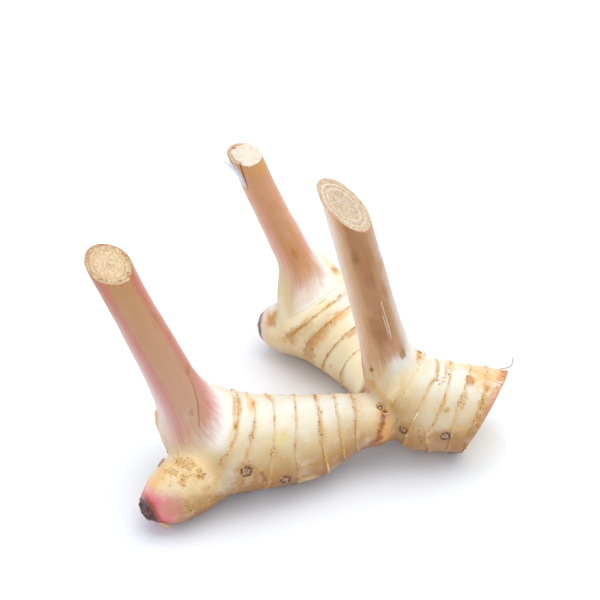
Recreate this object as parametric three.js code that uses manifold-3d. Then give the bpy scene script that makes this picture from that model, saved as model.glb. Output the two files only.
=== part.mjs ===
// Fresh galangal root: a forked, ringed rhizome with three cut leafy stems and two buds.
// Millimetres, +Z up. The limbs are laid out round the fork, then everything is moved so that the origin is
// the middle of the footprint, on the surface that the root lies on.

import * as THREE from 'three';
import { mergeVertices } from 'three/addons/utils/BufferGeometryUtils.js';
import Module from 'manifold-3d';

const wasm = await Module();
wasm.setup();

// Driving dimensions

// A limb is a row of cross-sections from the oldest end to the cut top of its stem, each with its centre, its
// radius and the way that it faces: rise above level and heading round from -X towards +Y, in degrees. Rings
// and the start of the stem are places in that row: 2.5 is halfway between the third and the fourth. A root
// scar has a place too, and a turn round the limb from its top, which is negative on the side towards -Y.
const MOTHER = {
  sections: [
    { at: [86, -14, 16], radius: 15.8, rise: 10, heading: 8 },
    { at: [74, -12, 16.8], radius: 16.4, rise: 11, heading: 9 },
    { at: [66.5, -11, 17.2], radius: 16.8, rise: 11, heading: 9 },
    { at: [60.5, -10.8, 17.8], radius: 17.2, rise: 12, heading: 9 },
    { at: [54, -10.9, 18.8], radius: 17.8, rise: 14, heading: 9 },
    { at: [47.3, -11, 20.8], radius: 18, rise: 22, heading: 10 },
    { at: [38, -10.2, 30], radius: 14.8, rise: 46, heading: 12 },
    { at: [33, -7.6, 40.5], radius: 10.4, rise: 64, heading: 15 },
    { at: [30.8, -5, 50], radius: 8.7, rise: 72, heading: 20 },
    { at: [24.2, -1.8, 75], radius: 7.7, rise: 74, heading: 22 },
    { at: [16, 1.3, 105], radius: 7.6, rise: 74, heading: 22 },
    { at: [12.4, 2.7, 118], radius: 7.6, rise: 74, heading: 22 },
  ],
  rings: [2, 3, 4, 5, 5.9],
  scars: [
    { place: 5.18, turn: -99, size: 1.9 },
    { place: 3.28, turn: -88, size: 2 },
    { place: 3.5, turn: -50, size: 0.9 },
    { place: 2.6, turn: -142, size: 1.8 },
    { place: 4.5, turn: 146, size: 1.7 },
    { place: 3.5, turn: 108, size: 1.5 },
  ],
  stemStart: 6.9,
  margin: 250,
};
const FRONT = {
  sections: [
    { at: [38, -13, 23.5], radius: 9.8, rise: -14, heading: -22 },
    { at: [30.4, -18.6, 20.5], radius: 10.2, rise: -10, heading: -18 },
    { at: [20.1, -20.4, 19.5], radius: 11, rise: -7, heading: -12 },
    { at: [8, -24.2, 17.4], radius: 14.9, rise: -6, heading: -10 },
    { at: [-2, -26.4, 16.9], radius: 16.7, rise: 0, heading: -8 },
    { at: [-12.4, -28.4, 17.3], radius: 17.7, rise: 7, heading: -6 },
    { at: [-21, -30.5, 18.2], radius: 18.6, rise: 14, heading: -1 },
    { at: [-28, -31.5, 20.5], radius: 18.8, rise: 23, heading: 2 },
    { at: [-39.8, -28.5, 29.3], radius: 15, rise: 48, heading: 0 },
    { at: [-44, -26.4, 39], radius: 10.2, rise: 64, heading: 5 },
    { at: [-47, -25, 46], radius: 8.8, rise: 67, heading: 8 },
    { at: [-56.8, -21.6, 70], radius: 8, rise: 68, heading: 10 },
    { at: [-67.3, -20, 98], radius: 7.6, rise: 69, heading: 10 },
    { at: [-72.1, -19.2, 111], radius: 7.5, rise: 69, heading: 10 },
  ],
  rings: [2, 2.5, 3, 4, 5, 6, 7],
  scars: [
    { place: 5.9, turn: -73, size: 1.9 },
    { place: 4.43, turn: -101, size: 1.5 },
    { place: 5.5, turn: -136, size: 1.8 },
    { place: 3.4, turn: 138, size: 1.6 },
    { place: 4.5, turn: 104, size: 1.6 },
    { place: 6.4, turn: 128, size: 1.8 },
    { place: 8.3, turn: -168, size: 3.6 },
  ],
  stemStart: 8.8,
  margin: 320,
};
const BACK = {
  sections: [
    { at: [34, -6, 21], radius: 11.5, rise: -15, heading: 75 },
    { at: [30.5, 8, 16.5], radius: 12.2, rise: -5, heading: 70 },
    { at: [26.8, 19.5, 14.2], radius: 13.6, rise: 10, heading: 58 },
    { at: [20.9, 28.8, 15.5], radius: 16, rise: 18, heading: 50 },
    { at: [15.3, 35.4, 17.5], radius: 17.8, rise: 24, heading: 46 },
    { at: [9.2, 39.4, 21], radius: 18.4, rise: 34, heading: 42 },
    { at: [3.8, 44.8, 31.5], radius: 14.6, rise: 54, heading: 38 },
    { at: [-0.3, 48, 43], radius: 9, rise: 64, heading: 30 },
    { at: [-4.4, 50.5, 50], radius: 7.3, rise: 65, heading: 26 },
    { at: [-12.6, 55.4, 66], radius: 6.3, rise: 65, heading: 24 },
    { at: [-21.6, 59.8, 87], radius: 6.2, rise: 65, heading: 22 },
    { at: [-26, 61.7, 97], radius: 6.2, rise: 65, heading: 22 },
  ],
  rings: [2, 3, 4, 5, 6],
  scars: [
    { place: 4.96, turn: -105, size: 2.1 },
    { place: 3.5, turn: -138, size: 1.7 },
    { place: 4.4, turn: 124, size: 1.8 },
    { place: 2.6, turn: 100, size: 1.5 },
  ],
  stemStart: 6.8,
  margin: 200,
};

// A knob is a short side limb, whose end is its bud.
const FRONT_KNOB = {
  sections: [
    { at: [-27, -34, 18.5], radius: 14, rise: -14, heading: -40 },
    { at: [-37, -42.5, 15], radius: 13, rise: -14, heading: -40 },
    { at: [-44.3, -48.6, 12.6], radius: 11.7, rise: -13, heading: -39 },
    { at: [-50, -53, 11.4], radius: 10, rise: -11, heading: -37 },
    { at: [-54.6, -56.2, 10.6], radius: 6.4, rise: -10, heading: -35 },
    { at: [-57, -57.8, 10.2], radius: 3.7, rise: -10, heading: -35 },
    { at: [-58.2, -58.6, 10.1], radius: 0, rise: -10, heading: -35 },
  ],
  rings: [0.9],
  budStart: 2.7,
};
const BACK_KNOB = {
  sections: [
    { at: [10, 37.5, 17], radius: 15, rise: -10, heading: 20 },
    { at: [-1, 41, 15], radius: 13, rise: -9, heading: 17 },
    { at: [-8, 42.4, 13.6], radius: 10.6, rise: -7, heading: 14 },
    { at: [-13.4, 43, 13.2], radius: 7.8, rise: -5, heading: 10 },
    { at: [-16.4, 43.4, 13], radius: 4.4, rise: -3, heading: 8 },
    { at: [-17.8, 43.6, 13], radius: 0, rise: -3, heading: 8 },
  ],
  rings: [1],
  budStart: 3.2,
};

// Where each stem was cut through, and which way its cut face looks. The mother limb's old end was cut too.
const LEFT_STEM_CUT = { at: [-66.8, -20.1, 96.2], facing: [0.13, -0.33, 0.94] };
const RIGHT_STEM_CUT = { at: [16, 1.3, 105.5], facing: [0.5, -0.3, 0.81] };
const BACK_STEM_CUT = { at: [-21.5, 59.8, 87.2], facing: [0, -0.14, 0.99] };
const OLD_END_CUT = { at: [71, -11.3, 16], facing: [0.87, -0.35, -0.35] };

// The row frame's origin, in the frame that the limbs are laid out in
const ORIGIN = [2.4, 2.7, 0.8];

const LIMB_SIDES = 32;
const KNOB_SIDES = 24;
const STEM_SIDES = 24;
const LIMB_STEP = 4.5;
const KNOB_STEP = 3;
const BUD_STEP = 1.6;
const STEM_STEP = 10;
const TOUCHING_GAP = 0.3;
const CUT_BLOCK = 140;

// A ring scar rises slowly from the older side and drops off sharply, and the skin bulges between two rings
const RING_HEIGHT = 0.6;
const RING_RISE = 1.6;
const RING_FALL = 0.6;
const INTERNODE_BULGE = 0.3;

// A ring sways along the limb as it goes round: by up to SWAY, turning once in SWAY_PITCH of length
const SWAY = 0.5;
const SWAY_PITCH = 38;
const FULL_SWAY_RADIUS = 10;

// Sections are a little oval and a little three-sided, as shares of the radius, and both turn along the limb
const OVAL = 0.018;
const OVAL_PITCH = 88;
const TRIANGLE = 0.011;
const TRIANGLE_PITCH = 57;

// The outermost sheath of a stem overlaps itself along a margin, which stands as a low step
const MARGIN_STEP = 0.7;
const MARGIN_ARC = THREE.MathUtils.degToRad(5);
const MARGIN_FADE = 9;

// On a cut face the outer sheath is parted from the core by a shallow ring
const SHEATH_RING = { outer: 0.84, inner: 0.76, depth: 0.5, reach: 40 };

// A root scar is a low rim round a dished middle, as shares of its size outwards and up from the skin
const SCAR_PROFILE = [[0, -0.4], [1, -0.4], [0.94, 0.08], [0.74, 0.18], [0.52, 0.04], [0.26, 0.05], [0, 0.12]];
const SCAR_SIDES = 9;

// The scar of a branch that died back, in the fork between the mother limb and the front limb
const FORK_SCAR = { at: [29.5, -23, 30.4], facing: [-0.35, -0.75, 0.56], size: 3.6 };

// A strip of outer sheath that has peeled off the back stem and stands away from it
const PEEL = { from: [-21.7, 55.4, 73.4], to: [-29.6, 57.6, 85.4], width: 1.6, thickness: 0.7, bow: 0.6 };

// Solids from closed geometry

function solidOf(geometry) {
  const bare = geometry.clone();
  bare.deleteAttribute('normal');
  bare.deleteAttribute('uv');
  const merged = mergeVertices(bare, 1e-4);
  const corners = merged.index.array;
  const triVerts = [];
  for (let i = 0; i < corners.length; i += 3) {
    const [a, b, c] = corners.slice(i, i + 3);
    if (a !== b && b !== c && c !== a) triVerts.push(a, b, c);
  }
  return new wasm.Manifold(new wasm.Mesh({
    numProp: 3,
    vertProperties: new Float32Array(merged.attributes.position.array),
    triVerts: new Uint32Array(triVerts),
  }));
}

function geometryOf(solid) {
  const mesh = solid.getMesh();
  const geometry = new THREE.BufferGeometry();
  geometry.setAttribute('position', new THREE.BufferAttribute(mesh.vertProperties, 3));
  geometry.setIndex(new THREE.BufferAttribute(mesh.triVerts, 1));
  geometry.computeVertexNormals();
  return geometry;
}

// Everything on the side of a plane that the plane faces
function beyond(at, facing) {
  const block = new THREE.BoxGeometry(CUT_BLOCK, CUT_BLOCK, CUT_BLOCK).translate(0, 0, CUT_BLOCK / 2);
  const turn = new THREE.Quaternion().setFromUnitVectors(
    new THREE.Vector3(0, 0, 1),
    new THREE.Vector3(...facing).normalize(),
  );
  block.applyQuaternion(turn).translate(...at);
  return solidOf(block);
}

// The course of a limb: its centre line, its radius, and right and up across it

class Course {
  constructor({ sections }) {
    const centres = sections.map(({ at }) => new THREE.Vector3(...at));
    this.line = new THREE.CatmullRomCurve3(centres, false, 'centripetal');
    this.line.arcLengthDivisions = 400;
    this.girth = new THREE.SplineCurve(sections.map(({ radius }, i) => new THREE.Vector2(i, radius)));
    this.facing = new THREE.SplineCurve(sections.map(({ rise, heading }) => new THREE.Vector2(rise, heading)));
    this.length = this.line.getLength();
    this.last = sections.length - 1;
  }

  // Distance along the centre line to a place in the row of sections
  distanceTo(place) {
    const lengths = this.line.getLengths();
    const step = (place / this.last) * (lengths.length - 1);
    const low = Math.min(Math.floor(step), lengths.length - 2);
    return THREE.MathUtils.lerp(lengths[low], lengths[low + 1], step - low);
  }

  at(distance) {
    const t = this.line.getUtoTmapping(distance / this.length);
    const facing = this.facing.getPoint(t);
    const rise = THREE.MathUtils.degToRad(facing.x);
    const heading = THREE.MathUtils.degToRad(facing.y);
    const right = new THREE.Vector3(Math.sin(heading), Math.cos(heading), 0);
    const ahead = new THREE.Vector3(-right.y, right.x, Math.tan(rise)).normalize();
    const up = new THREE.Vector3().crossVectors(right, ahead);
    const radius = Math.max(this.girth.getPoint(t).y, 0);
    return { centre: this.line.getPoint(t), ahead, right, up, radius };
  }
}

// A stretch of a limb as [radius, distance] pairs, closed flat at both ends, with its ring scars standing up
function stretch(course, from, to, step, rings = []) {
  const scars = rings.map((place) => course.distanceTo(place));
  const marks = [from, ...scars.flatMap((scar) => [scar - RING_RISE, scar, scar + RING_FALL]), to];
  const stops = [];
  marks.slice(0, -1).forEach((mark, i) => {
    const room = marks[i + 1] - mark;
    const parts = Math.max(1, Math.round(room / step));
    for (let k = 0; k < parts; k++) stops.push(mark + (room * k) / parts);
  });
  stops.push(to);
  const relief = (distance) => {
    if (scars.includes(distance)) return RING_HEIGHT;
    const next = scars.findIndex((scar) => scar > distance);
    if (next < 1) return 0;
    const share = (distance - scars[next - 1]) / (scars[next] - scars[next - 1]);
    return INTERNODE_BULGE * Math.sin(Math.PI * share);
  };
  const skin = stops.map((distance) => [course.at(distance).radius + relief(distance), distance]);
  return [[0, from], ...skin, [0, to]];
}

const turns = (distance, pitch) => (2 * Math.PI * distance) / pitch;

// A lathe turned round a straight axis is bent so that its axis follows the course. Grown limbs are slightly
// oval and their rings sway a little. A stem's skin also steps down by the margin's height, once round.
function grow(course, profile, sides, { marginTurn = 0, marginHeight = () => 0 } = {}) {
  const lathe = new THREE.LatheGeometry(profile.map(([radius, distance]) => new THREE.Vector2(radius, distance)), sides);
  const place = lathe.attributes.position;
  const point = new THREE.Vector3();
  for (let i = 0; i < place.count; i++) {
    const column = Math.floor(i / profile.length) % sides;
    const [flat, distance] = profile[i % profile.length];
    const past = column === 0 ? 1 : (column - 1) / (sides - 1);
    const angle = marginTurn + (column === 0 ? 0 : MARGIN_ARC + past * (2 * Math.PI - MARGIN_ARC));
    const { centre, ahead, right, up } = course.at(distance);
    const oval = OVAL * Math.sin(2 * angle + turns(distance, OVAL_PITCH));
    const triangle = TRIANGLE * Math.sin(3 * angle - turns(distance, TRIANGLE_PITCH));
    const radius = flat > 0 ? flat * (1 + oval + triangle) + marginHeight(distance) * (past - 0.5) : 0;
    const sway = SWAY * Math.sin(angle + turns(distance, SWAY_PITCH)) * Math.min(1, flat / FULL_SWAY_RADIUS);
    point.copy(centre)
      .addScaledVector(right, radius * Math.sin(angle))
      .addScaledVector(up, radius * Math.cos(angle))
      .addScaledVector(ahead, sway);
    place.setXYZ(i, point.x, point.y, point.z);
  }
  return lathe;
}

// Parts of the plant

function scarOf({ at, facing, size }) {
  const points = SCAR_PROFILE.map(([out, up]) => new THREE.Vector2(out * size, up * size));
  const lathe = new THREE.LatheGeometry(points, SCAR_SIDES);
  const turn = new THREE.Quaternion().setFromUnitVectors(
    new THREE.Vector3(0, 1, 0),
    new THREE.Vector3(...facing).normalize(),
  );
  return solidOf(lathe.applyQuaternion(turn).translate(...at));
}

function scarOn(course, { place, turn, size }) {
  const { centre, right, up, radius } = course.at(course.distanceTo(place));
  const angle = THREE.MathUtils.degToRad(turn);
  const out = new THREE.Vector3().addScaledVector(right, Math.sin(angle)).addScaledVector(up, Math.cos(angle));
  centre.addScaledVector(out, radius + INTERNODE_BULGE);
  return scarOf({ at: centre.toArray(), facing: out.toArray(), size });
}

function limbOf(limb) {
  const course = new Course(limb);
  const end = course.distanceTo(limb.stemStart);
  const skin = solidOf(grow(course, stretch(course, 0, end, LIMB_STEP, limb.rings), LIMB_SIDES));
  return limb.scars.reduce((sum, scar) => sum.add(scarOn(course, scar)), skin);
}

function knobOf(knob) {
  const course = new Course(knob);
  const end = course.distanceTo(knob.budStart);
  return solidOf(grow(course, stretch(course, 0, end, KNOB_STEP, knob.rings), KNOB_SIDES));
}

function budOf(knob) {
  const course = new Course(knob);
  const start = course.distanceTo(knob.budStart) + TOUCHING_GAP;
  return solidOf(grow(course, stretch(course, start, course.length, BUD_STEP), KNOB_SIDES));
}

function stemOf(limb, cut) {
  const course = new Course(limb);
  const start = course.distanceTo(limb.stemStart) + TOUCHING_GAP;
  const marginHeight = (distance) => MARGIN_STEP * THREE.MathUtils.smoothstep(distance, start, start + MARGIN_FADE);
  const turn = { marginTurn: THREE.MathUtils.degToRad(limb.margin), marginHeight };
  const skin = solidOf(grow(course, stretch(course, start, course.length, STEM_STEP), STEM_SIDES, turn));
  const tube = (share) => {
    const top = stretch(course, course.length - SHEATH_RING.reach, course.length, STEM_STEP);
    return solidOf(grow(course, top.map(([radius, distance]) => [radius * share, distance]), STEM_SIDES, turn));
  };
  const ring = tube(SHEATH_RING.outer).subtract(tube(SHEATH_RING.inner));
  const facing = new THREE.Vector3(...cut.facing).normalize();
  const sunk = new THREE.Vector3(...cut.at).addScaledVector(facing, -SHEATH_RING.depth);
  const groove = ring.intersect(beyond(sunk.toArray(), cut.facing));
  return skin.subtract(beyond(cut.at, cut.facing)).subtract(groove);
}

// A strip bowed away from the straight line between its ends, thickest where it leaves the stem
function peelOf({ from, to, width, thickness, bow }) {
  const start = new THREE.Vector3(...from);
  const span = new THREE.Vector3(...to).sub(start);
  const length = span.length();
  const box = new THREE.BoxGeometry(width, thickness, length, 1, 1, 5).translate(0, 0, length / 2);
  const place = box.attributes.position;
  for (let i = 0; i < place.count; i++) {
    const share = place.getZ(i) / length;
    place.setX(i, place.getX(i) * (1 - 0.5 * share) - bow * Math.sin(Math.PI * share));
  }
  const ahead = span.divideScalar(length);
  const across = new THREE.Vector3().crossVectors(new THREE.Vector3(0, 1, 0), ahead).normalize();
  const out = new THREE.Vector3().crossVectors(ahead, across);
  box.applyMatrix4(new THREE.Matrix4().makeBasis(across, out, ahead).setPosition(start));
  return solidOf(box);
}

function rhizomeOf() {
  const limbs = [MOTHER, FRONT, BACK].map(limbOf);
  const knobs = [FRONT_KNOB, BACK_KNOB].map(knobOf);
  const whole = [...limbs, ...knobs, scarOf(FORK_SCAR)].reduce((sum, piece) => sum.add(piece));
  return whole
    .subtract(beyond(OLD_END_CUT.at, OLD_END_CUT.facing))
    .subtract(beyond([0, 0, ORIGIN[2]], [0, 0, -1]));
}

// Finishes, one to a node

const finish = (color, roughness) => new THREE.MeshStandardMaterial({ color, roughness, metalness: 0 });

const root = new THREE.Group();
function place(name, solid, material) {
  const mesh = new THREE.Mesh(geometryOf(solid), material);
  mesh.name = name;
  root.add(mesh);
}

place('rhizome', rhizomeOf(), finish(0xe9ddb6, 0.45));
place('stem_left', stemOf(FRONT, LEFT_STEM_CUT), finish(0xc9967f, 0.5));
place('stem_right', stemOf(MOTHER, RIGHT_STEM_CUT), finish(0xb48a6c, 0.5));
place('stem_back', stemOf(BACK, BACK_STEM_CUT).add(peelOf(PEEL)), finish(0xcfa183, 0.5));
place('bud_left', budOf(FRONT_KNOB), finish(0xb8506a, 0.45));
place('bud_back', budOf(BACK_KNOB), finish(0x8d4a5a, 0.5));
root.position.set(...ORIGIN).negate();

export default root;
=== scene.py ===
"""Dresses the fresh galangal root: ringed rhizome, three cut stems, two buds and what clings to them."""

import math

import bmesh
import bpy
import numpy as np
from mathutils import Euler, Matrix, Vector, noise
from mathutils.bvhtree import BVHTree
from mathutils.kdtree import KDTree


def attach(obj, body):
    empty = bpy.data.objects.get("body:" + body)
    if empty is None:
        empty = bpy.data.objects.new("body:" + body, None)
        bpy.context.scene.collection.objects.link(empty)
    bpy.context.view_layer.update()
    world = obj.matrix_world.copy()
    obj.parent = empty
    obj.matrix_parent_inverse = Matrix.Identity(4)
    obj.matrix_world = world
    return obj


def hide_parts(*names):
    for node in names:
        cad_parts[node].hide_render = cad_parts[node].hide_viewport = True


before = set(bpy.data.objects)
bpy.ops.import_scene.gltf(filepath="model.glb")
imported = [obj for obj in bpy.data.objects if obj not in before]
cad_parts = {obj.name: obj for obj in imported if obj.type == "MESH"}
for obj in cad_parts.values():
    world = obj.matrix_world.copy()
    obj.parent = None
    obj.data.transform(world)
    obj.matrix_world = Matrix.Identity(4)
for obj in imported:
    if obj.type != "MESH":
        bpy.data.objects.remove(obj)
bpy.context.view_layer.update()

# The limbs are laid out in millimetres, in a frame of their own, where the CAD frame's origin is at ORIGIN
MM = 0.001
ORIGIN = np.array([2.4, 2.7, 0.8])
# Steps in a limb's course from one section to the next
FINE = 200

# A section is its centre, its radius, its rise above level and its heading round from -X towards +Y.
# A ring is its place in the row of sections, its path as (turn, millimetres ahead of that place), the width
# of the tan band on its older side, and how dark it is.
MOTHER_SECTIONS = [
    ((86, -14, 16), 15.8, 10, 8),
    ((74, -12, 16.8), 16.4, 11, 9),
    ((66.5, -11, 17.2), 16.8, 11, 9),
    ((60.5, -10.8, 17.8), 17.2, 12, 9),
    ((54, -10.9, 18.8), 17.8, 14, 9),
    ((47.3, -11, 20.8), 18, 22, 10),
    ((38, -10.2, 30), 14.8, 46, 12),
    ((33, -7.6, 40.5), 10.4, 64, 15),
    ((30.8, -5, 50), 8.7, 72, 20),
    ((24.2, -1.8, 75), 7.7, 74, 22),
    ((16, 1.3, 105), 7.6, 74, 22),
    ((12.4, 2.7, 118), 7.6, 74, 22),
]
MOTHER_RINGS = [
    (2, [(0, -0.8), (-60, 0.7), (-100, 0.5), (180, 0)], 3.0, 0.7),
    (3, [(25, -0.2), (-38, 2.3), (-62, 2.1), (-110, 0.5), (180, 0)], 1.0, 0.6),
    (4, [(27, 2.3), (-26, 2.8), (-71, 3.6), (-82, 4.8), (-121, 0.2), (180, 0)], 1.6, 0.8),
    (5, [(24, 5.1), (-14, 5.4), (-22, 8.4), (-44, 7.8), (-79, 5.1), (-130, 1), (150, 1)], 1.0, 0.5),
    (5.9, [(20, 7), (-27, 8), (-58, 5.9), (-83, 2.8), (-130, 0), (150, 1)], 0.6, 0.25),
]
FRONT_SECTIONS = [
    ((38, -13, 23.5), 9.8, -14, -22),
    ((30.4, -18.6, 20.5), 10.2, -10, -18),
    ((20.1, -20.4, 19.5), 11, -7, -12),
    ((8, -24.2, 17.4), 14.9, -6, -10),
    ((-2, -26.4, 16.9), 16.7, 0, -8),
    ((-12.4, -28.4, 17.3), 17.7, 7, -6),
    ((-21, -30.5, 18.2), 18.6, 14, -1),
    ((-28, -31.5, 20.5), 18.8, 23, 2),
    ((-39.8, -28.5, 29.3), 15, 48, 0),
    ((-44, -26.4, 39), 10.2, 64, 5),
    ((-47, -25, 46), 8.8, 67, 8),
    ((-56.8, -21.6, 70), 8, 68, 10),
    ((-67.3, -20, 98), 7.6, 69, 10),
    ((-72.1, -19.2, 111), 7.5, 69, 10),
]
FRONT_RINGS = [
    (2, [(0, -0.9), (-28, -0.6), (-62, 1), (-90, 1.5), (180, 0)], 1.6, 0.9),
    (2.5, [(10, -0.6), (-21, -0.1), (-58, 0.6), (-96, 0.3), (180, 0)], 0.7, 0.7),
    (3, [(15, 0.4), (-10, 0.1), (-37, 1.1), (-58, 1.4), (-83, 1.4), (-107, 0.6), (180, 0)], 1.6, 0.9),
    (4, [(26, -0.8), (-5, 0), (-30, 0.8), (-45, 1.6), (-66, 2), (-85, 0.9), (180, 0)], 0.8, 0.6),
    (5, [(27, 2), (12, -0.6), (-14, -0.3), (-42, 0), (-77, 0.9), (-113, 0.9), (180, 0)], 0.9, 0.55),
    (6, [(25, 4.5), (16, 1.3), (-10, 0), (-44, 1.1), (-65, 1.7), (-82, 0.9), (-94, 1.8), (180, 0)], 1.4, 0.7),
    (7, [(22, 5), (-13, 3.5), (-32, 2.1), (-51, 2.6), (-67, 3.9), (-81, 3.3), (-95, 0.8), (180, 0)], 2.4, 0.9),
]
BACK_SECTIONS = [
    ((34, -6, 21), 11.5, -15, 75),
    ((30.5, 8, 16.5), 12.2, -5, 70),
    ((26.8, 19.5, 14.2), 13.6, 10, 58),
    ((20.9, 28.8, 15.5), 16, 18, 50),
    ((15.3, 35.4, 17.5), 17.8, 24, 46),
    ((9.2, 39.4, 21), 18.4, 34, 42),
    ((3.8, 44.8, 31.5), 14.6, 54, 38),
    ((-0.3, 48, 43), 9, 64, 30),
    ((-4.4, 50.5, 50), 7.3, 65, 26),
    ((-12.6, 55.4, 66), 6.3, 65, 24),
    ((-21.6, 59.8, 87), 6.2, 65, 22),
    ((-26, 61.7, 97), 6.2, 65, 22),
]
BACK_RINGS = [
    (2, [(-29, -2.5), (-70, -2), (-110, -1.2), (180, -1)], 0.6, 0.6),
    (3, [(-30, -1), (-68, -1.1), (-99, -1.1), (180, 0)], 0.8, 0.8),
    (4, [(0, 1.2), (-36, 1.2), (-73, 1.3), (-108, -0.6), (180, 0)], 3.6, 0.9),
    (5, [(0, 2.3), (-39, 2.3), (-92, 2), (-111, 2.9), (180, 1)], 3.2, 0.8),
    (6, [(0, -3), (-32, -3), (-80, -3.9), (-97, -3.8), (-106, 1), (180, 0)], 0.6, 0.3),
]
FRONT_KNOB_SECTIONS = [
    ((-27, -34, 18.5), 14, -14, -40),
    ((-37, -42.5, 15), 13, -14, -40),
    ((-44.3, -48.6, 12.6), 11.7, -13, -39),
    ((-50, -53, 11.4), 10, -11, -37),
    ((-54.6, -56.2, 10.6), 6.4, -10, -35),
    ((-57, -57.8, 10.2), 3.7, -10, -35),
    ((-58.2, -58.6, 10.1), 0, -10, -35),
]
BACK_KNOB_SECTIONS = [
    ((10, 37.5, 17), 15, -10, 20),
    ((-1, 41, 15), 13, -9, 17),
    ((-8, 42.4, 13.6), 10.6, -7, 14),
    ((-13.4, 43, 13.2), 7.8, -5, 10),
    ((-16.4, 43.4, 13), 4.4, -3, 8),
    ((-17.8, 43.6, 13), 0, -3, 8),
]

# Where each stem and the old end were cut, and which way the cut face looks
LEFT_CUT = ((-66.8, -20.1, 96.2), (0.13, -0.33, 0.94))
RIGHT_CUT = ((16, 1.3, 105.5), (0.5, -0.3, 0.81))
BACK_CUT = ((-21.5, 59.8, 87.2), (0, -0.14, 0.99))
OLD_CUT = ((71, -11.3, 16), (0.87, -0.35, -0.35))

# A ring's ridge: its height, how far it climbs and falls, how fast it grows with the ring's darkness, the
# bulge of the skin between two rings, and where a lathe has stations across a ring
RING_HEIGHT = 0.6
RING_RISE = 1.6
RING_FALL = 0.4
RIDGE_FOR_TONE = 1.6
BULGE = 0.3
RING_STOPS = (-2.4, -1.6, -1, -0.6, -0.3, -0.1, 0, 0.12, 0.28, 0.5, 0.9, 1.5)
# How far past a stem's foot the bends of the rings' paths die away
PATHS_FADE = 8
# How oval and how three-cornered a limb is, as a share of its radius, and in what length that turns once
OVAL, OVAL_PITCH = 0.018, 88
TRIANGLE, TRIANGLE_PITCH = 0.011, 57
# Lumps of the skin, as (height, size, seed), and the radius below which they die away towards a tip
SKIN_LUMPS = [(0.3, 9, 0), (0.09, 3.1, 5), (0.03, 1.2, 9)]
TIP_FADE = 9
# The edge of a stem's outer leaf sheath: its step, the arc that the step takes, the sides of a lathe in
# that arc, and how far past the stem's foot it is full
MARGIN_STEP = 0.7
MARGIN_ARC = math.radians(4)
MARGIN_SIDES = 4
MARGIN_FADE = 9
# Ribs of a sheath: height, width, the radius that they are rolled round, and how far they are drawn out
RIB_HEIGHT = 0.07
RIB_WIDTH = 1.3
RIB_ROUND = 7
RIB_STRETCH = 14
# Where the outer leaf sheath's edge runs on each stem, as (distance, turn), and grooves in the skin, as
# (depth, half width, [(distance, turn)...])
FRONT_MARGIN = [(88, -58), (94, -44), (97, -34), (100, -26), (104, -19), (130, -22), (156, -27)]
MOTHER_MARGIN = [(0, -110)]
BACK_MARGIN = [(0, -160)]
FRONT_GROOVES = [(0.3, 0.5, [(86, -66), (94, -44), (100, -26), (106, -18)])]
BACK_GROOVES = [(0.9, 0.45, [(136, -84), (130, -91), (120, -106)])]


# Numbers and colours

def linear(red, green, blue):
    """A screen colour, 0 to 255, as the light that it stands for."""
    share = np.array([red, green, blue]) / 255
    return np.where(share <= 0.04045, share / 12.92, ((share + 0.055) / 1.055) ** 2.4)


def smooth(value, low, high):
    """0 below low, 1 above high, and smooth from one to the other."""
    share = np.clip((value - low) / (high - low), 0, 1)
    return share * share * (3 - 2 * share)


def blend(first, second, share):
    return first + (second - first) * np.asarray(share)[..., None]


def over(tint, colour, share):
    """Colours of points, with one screen colour laid over them."""
    return blend(tint, linear(*colour), share)


def lumps(points, size, seed=0.0):
    """Noise from -1 to 1 at points in millimetres, with lumps of about that size."""
    return np.array([noise.noise(p) for p in (points / size + seed).tolist()])


def rolled(turn, radius, along):
    """Points on a straight tube, where noise joins up all round."""
    return np.stack([radius * np.cos(turn), radius * np.sin(turn), along], 1)


def columns_at(where, marks, rows):
    """Rows of values that stand at marks, read anywhere between them."""
    return np.stack([np.interp(where, marks, column) for column in np.transpose(rows)], -1)


def round_the_limb(turn, stops):
    """The value at a turn, between stops of (turn, value) that go once round."""
    rows = sorted((t % 360, v) for t, v in stops)
    turns = [rows[-1][0] - 360] + [t for t, _ in rows] + [rows[0][0] + 360]
    values = np.array([rows[-1][1]] + [v for _, v in rows] + [rows[0][1]], float)
    place = np.degrees(turn) % 360
    if values.ndim == 1:
        return np.interp(place, turns, values)
    return columns_at(place, turns, values)


def turned(angle):
    """An angle in radians, from -pi to pi."""
    return (angle + math.pi) % (2 * math.pi) - math.pi


def near_stops(points, stops):
    """How far points are from stops joined by straight lines. A stop may differ from point to point."""
    best = np.full(len(points), np.inf)
    for start, end in zip(stops, stops[1:]):
        span = end - start
        share = np.clip(((points - start) * span).sum(-1) / (span**2).sum(-1), 0, 1)
        best = np.minimum(best, np.linalg.norm(points - start - span * share[:, None], axis=1))
    return best


# Limbs

def through(values, places, centripetal=False):
    """A Catmull-Rom curve through rows of values, read at places in the row."""
    rows = np.asarray(values, float).reshape(len(values), -1)
    ends = (2 * rows[0] - rows[1], 2 * rows[-1] - rows[-2]) if centripetal else (rows[0], rows[-1])
    rows = np.vstack([ends[0], rows, ends[1]])
    low = np.clip(np.floor(places).astype(int), 0, len(values) - 2)
    share = (places - low)[:, None]
    before, start, end, after = (rows[low + i] for i in range(4))
    if centripetal:
        spans = (start - before, end - start, after - end)
        first, middle, last = (np.sqrt(np.linalg.norm(span, axis=1))[:, None] for span in spans)
        straight = (end - start) / middle
        leave = ((start - before) / first - (end - before) / (first + middle) + straight) * middle
        arrive = (straight - (after - start) / (middle + last) + (after - end) / last) * middle
    else:
        leave, arrive = (end - before) / 2, (after - start) / 2
    curve = (
        start
        + leave * share
        + (3 * (end - start) - 2 * leave - arrive) * share**2
        + (2 * (start - end) + leave + arrive) * share**3
    )
    return curve if curve.shape[1] > 1 else curve[:, 0]


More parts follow.
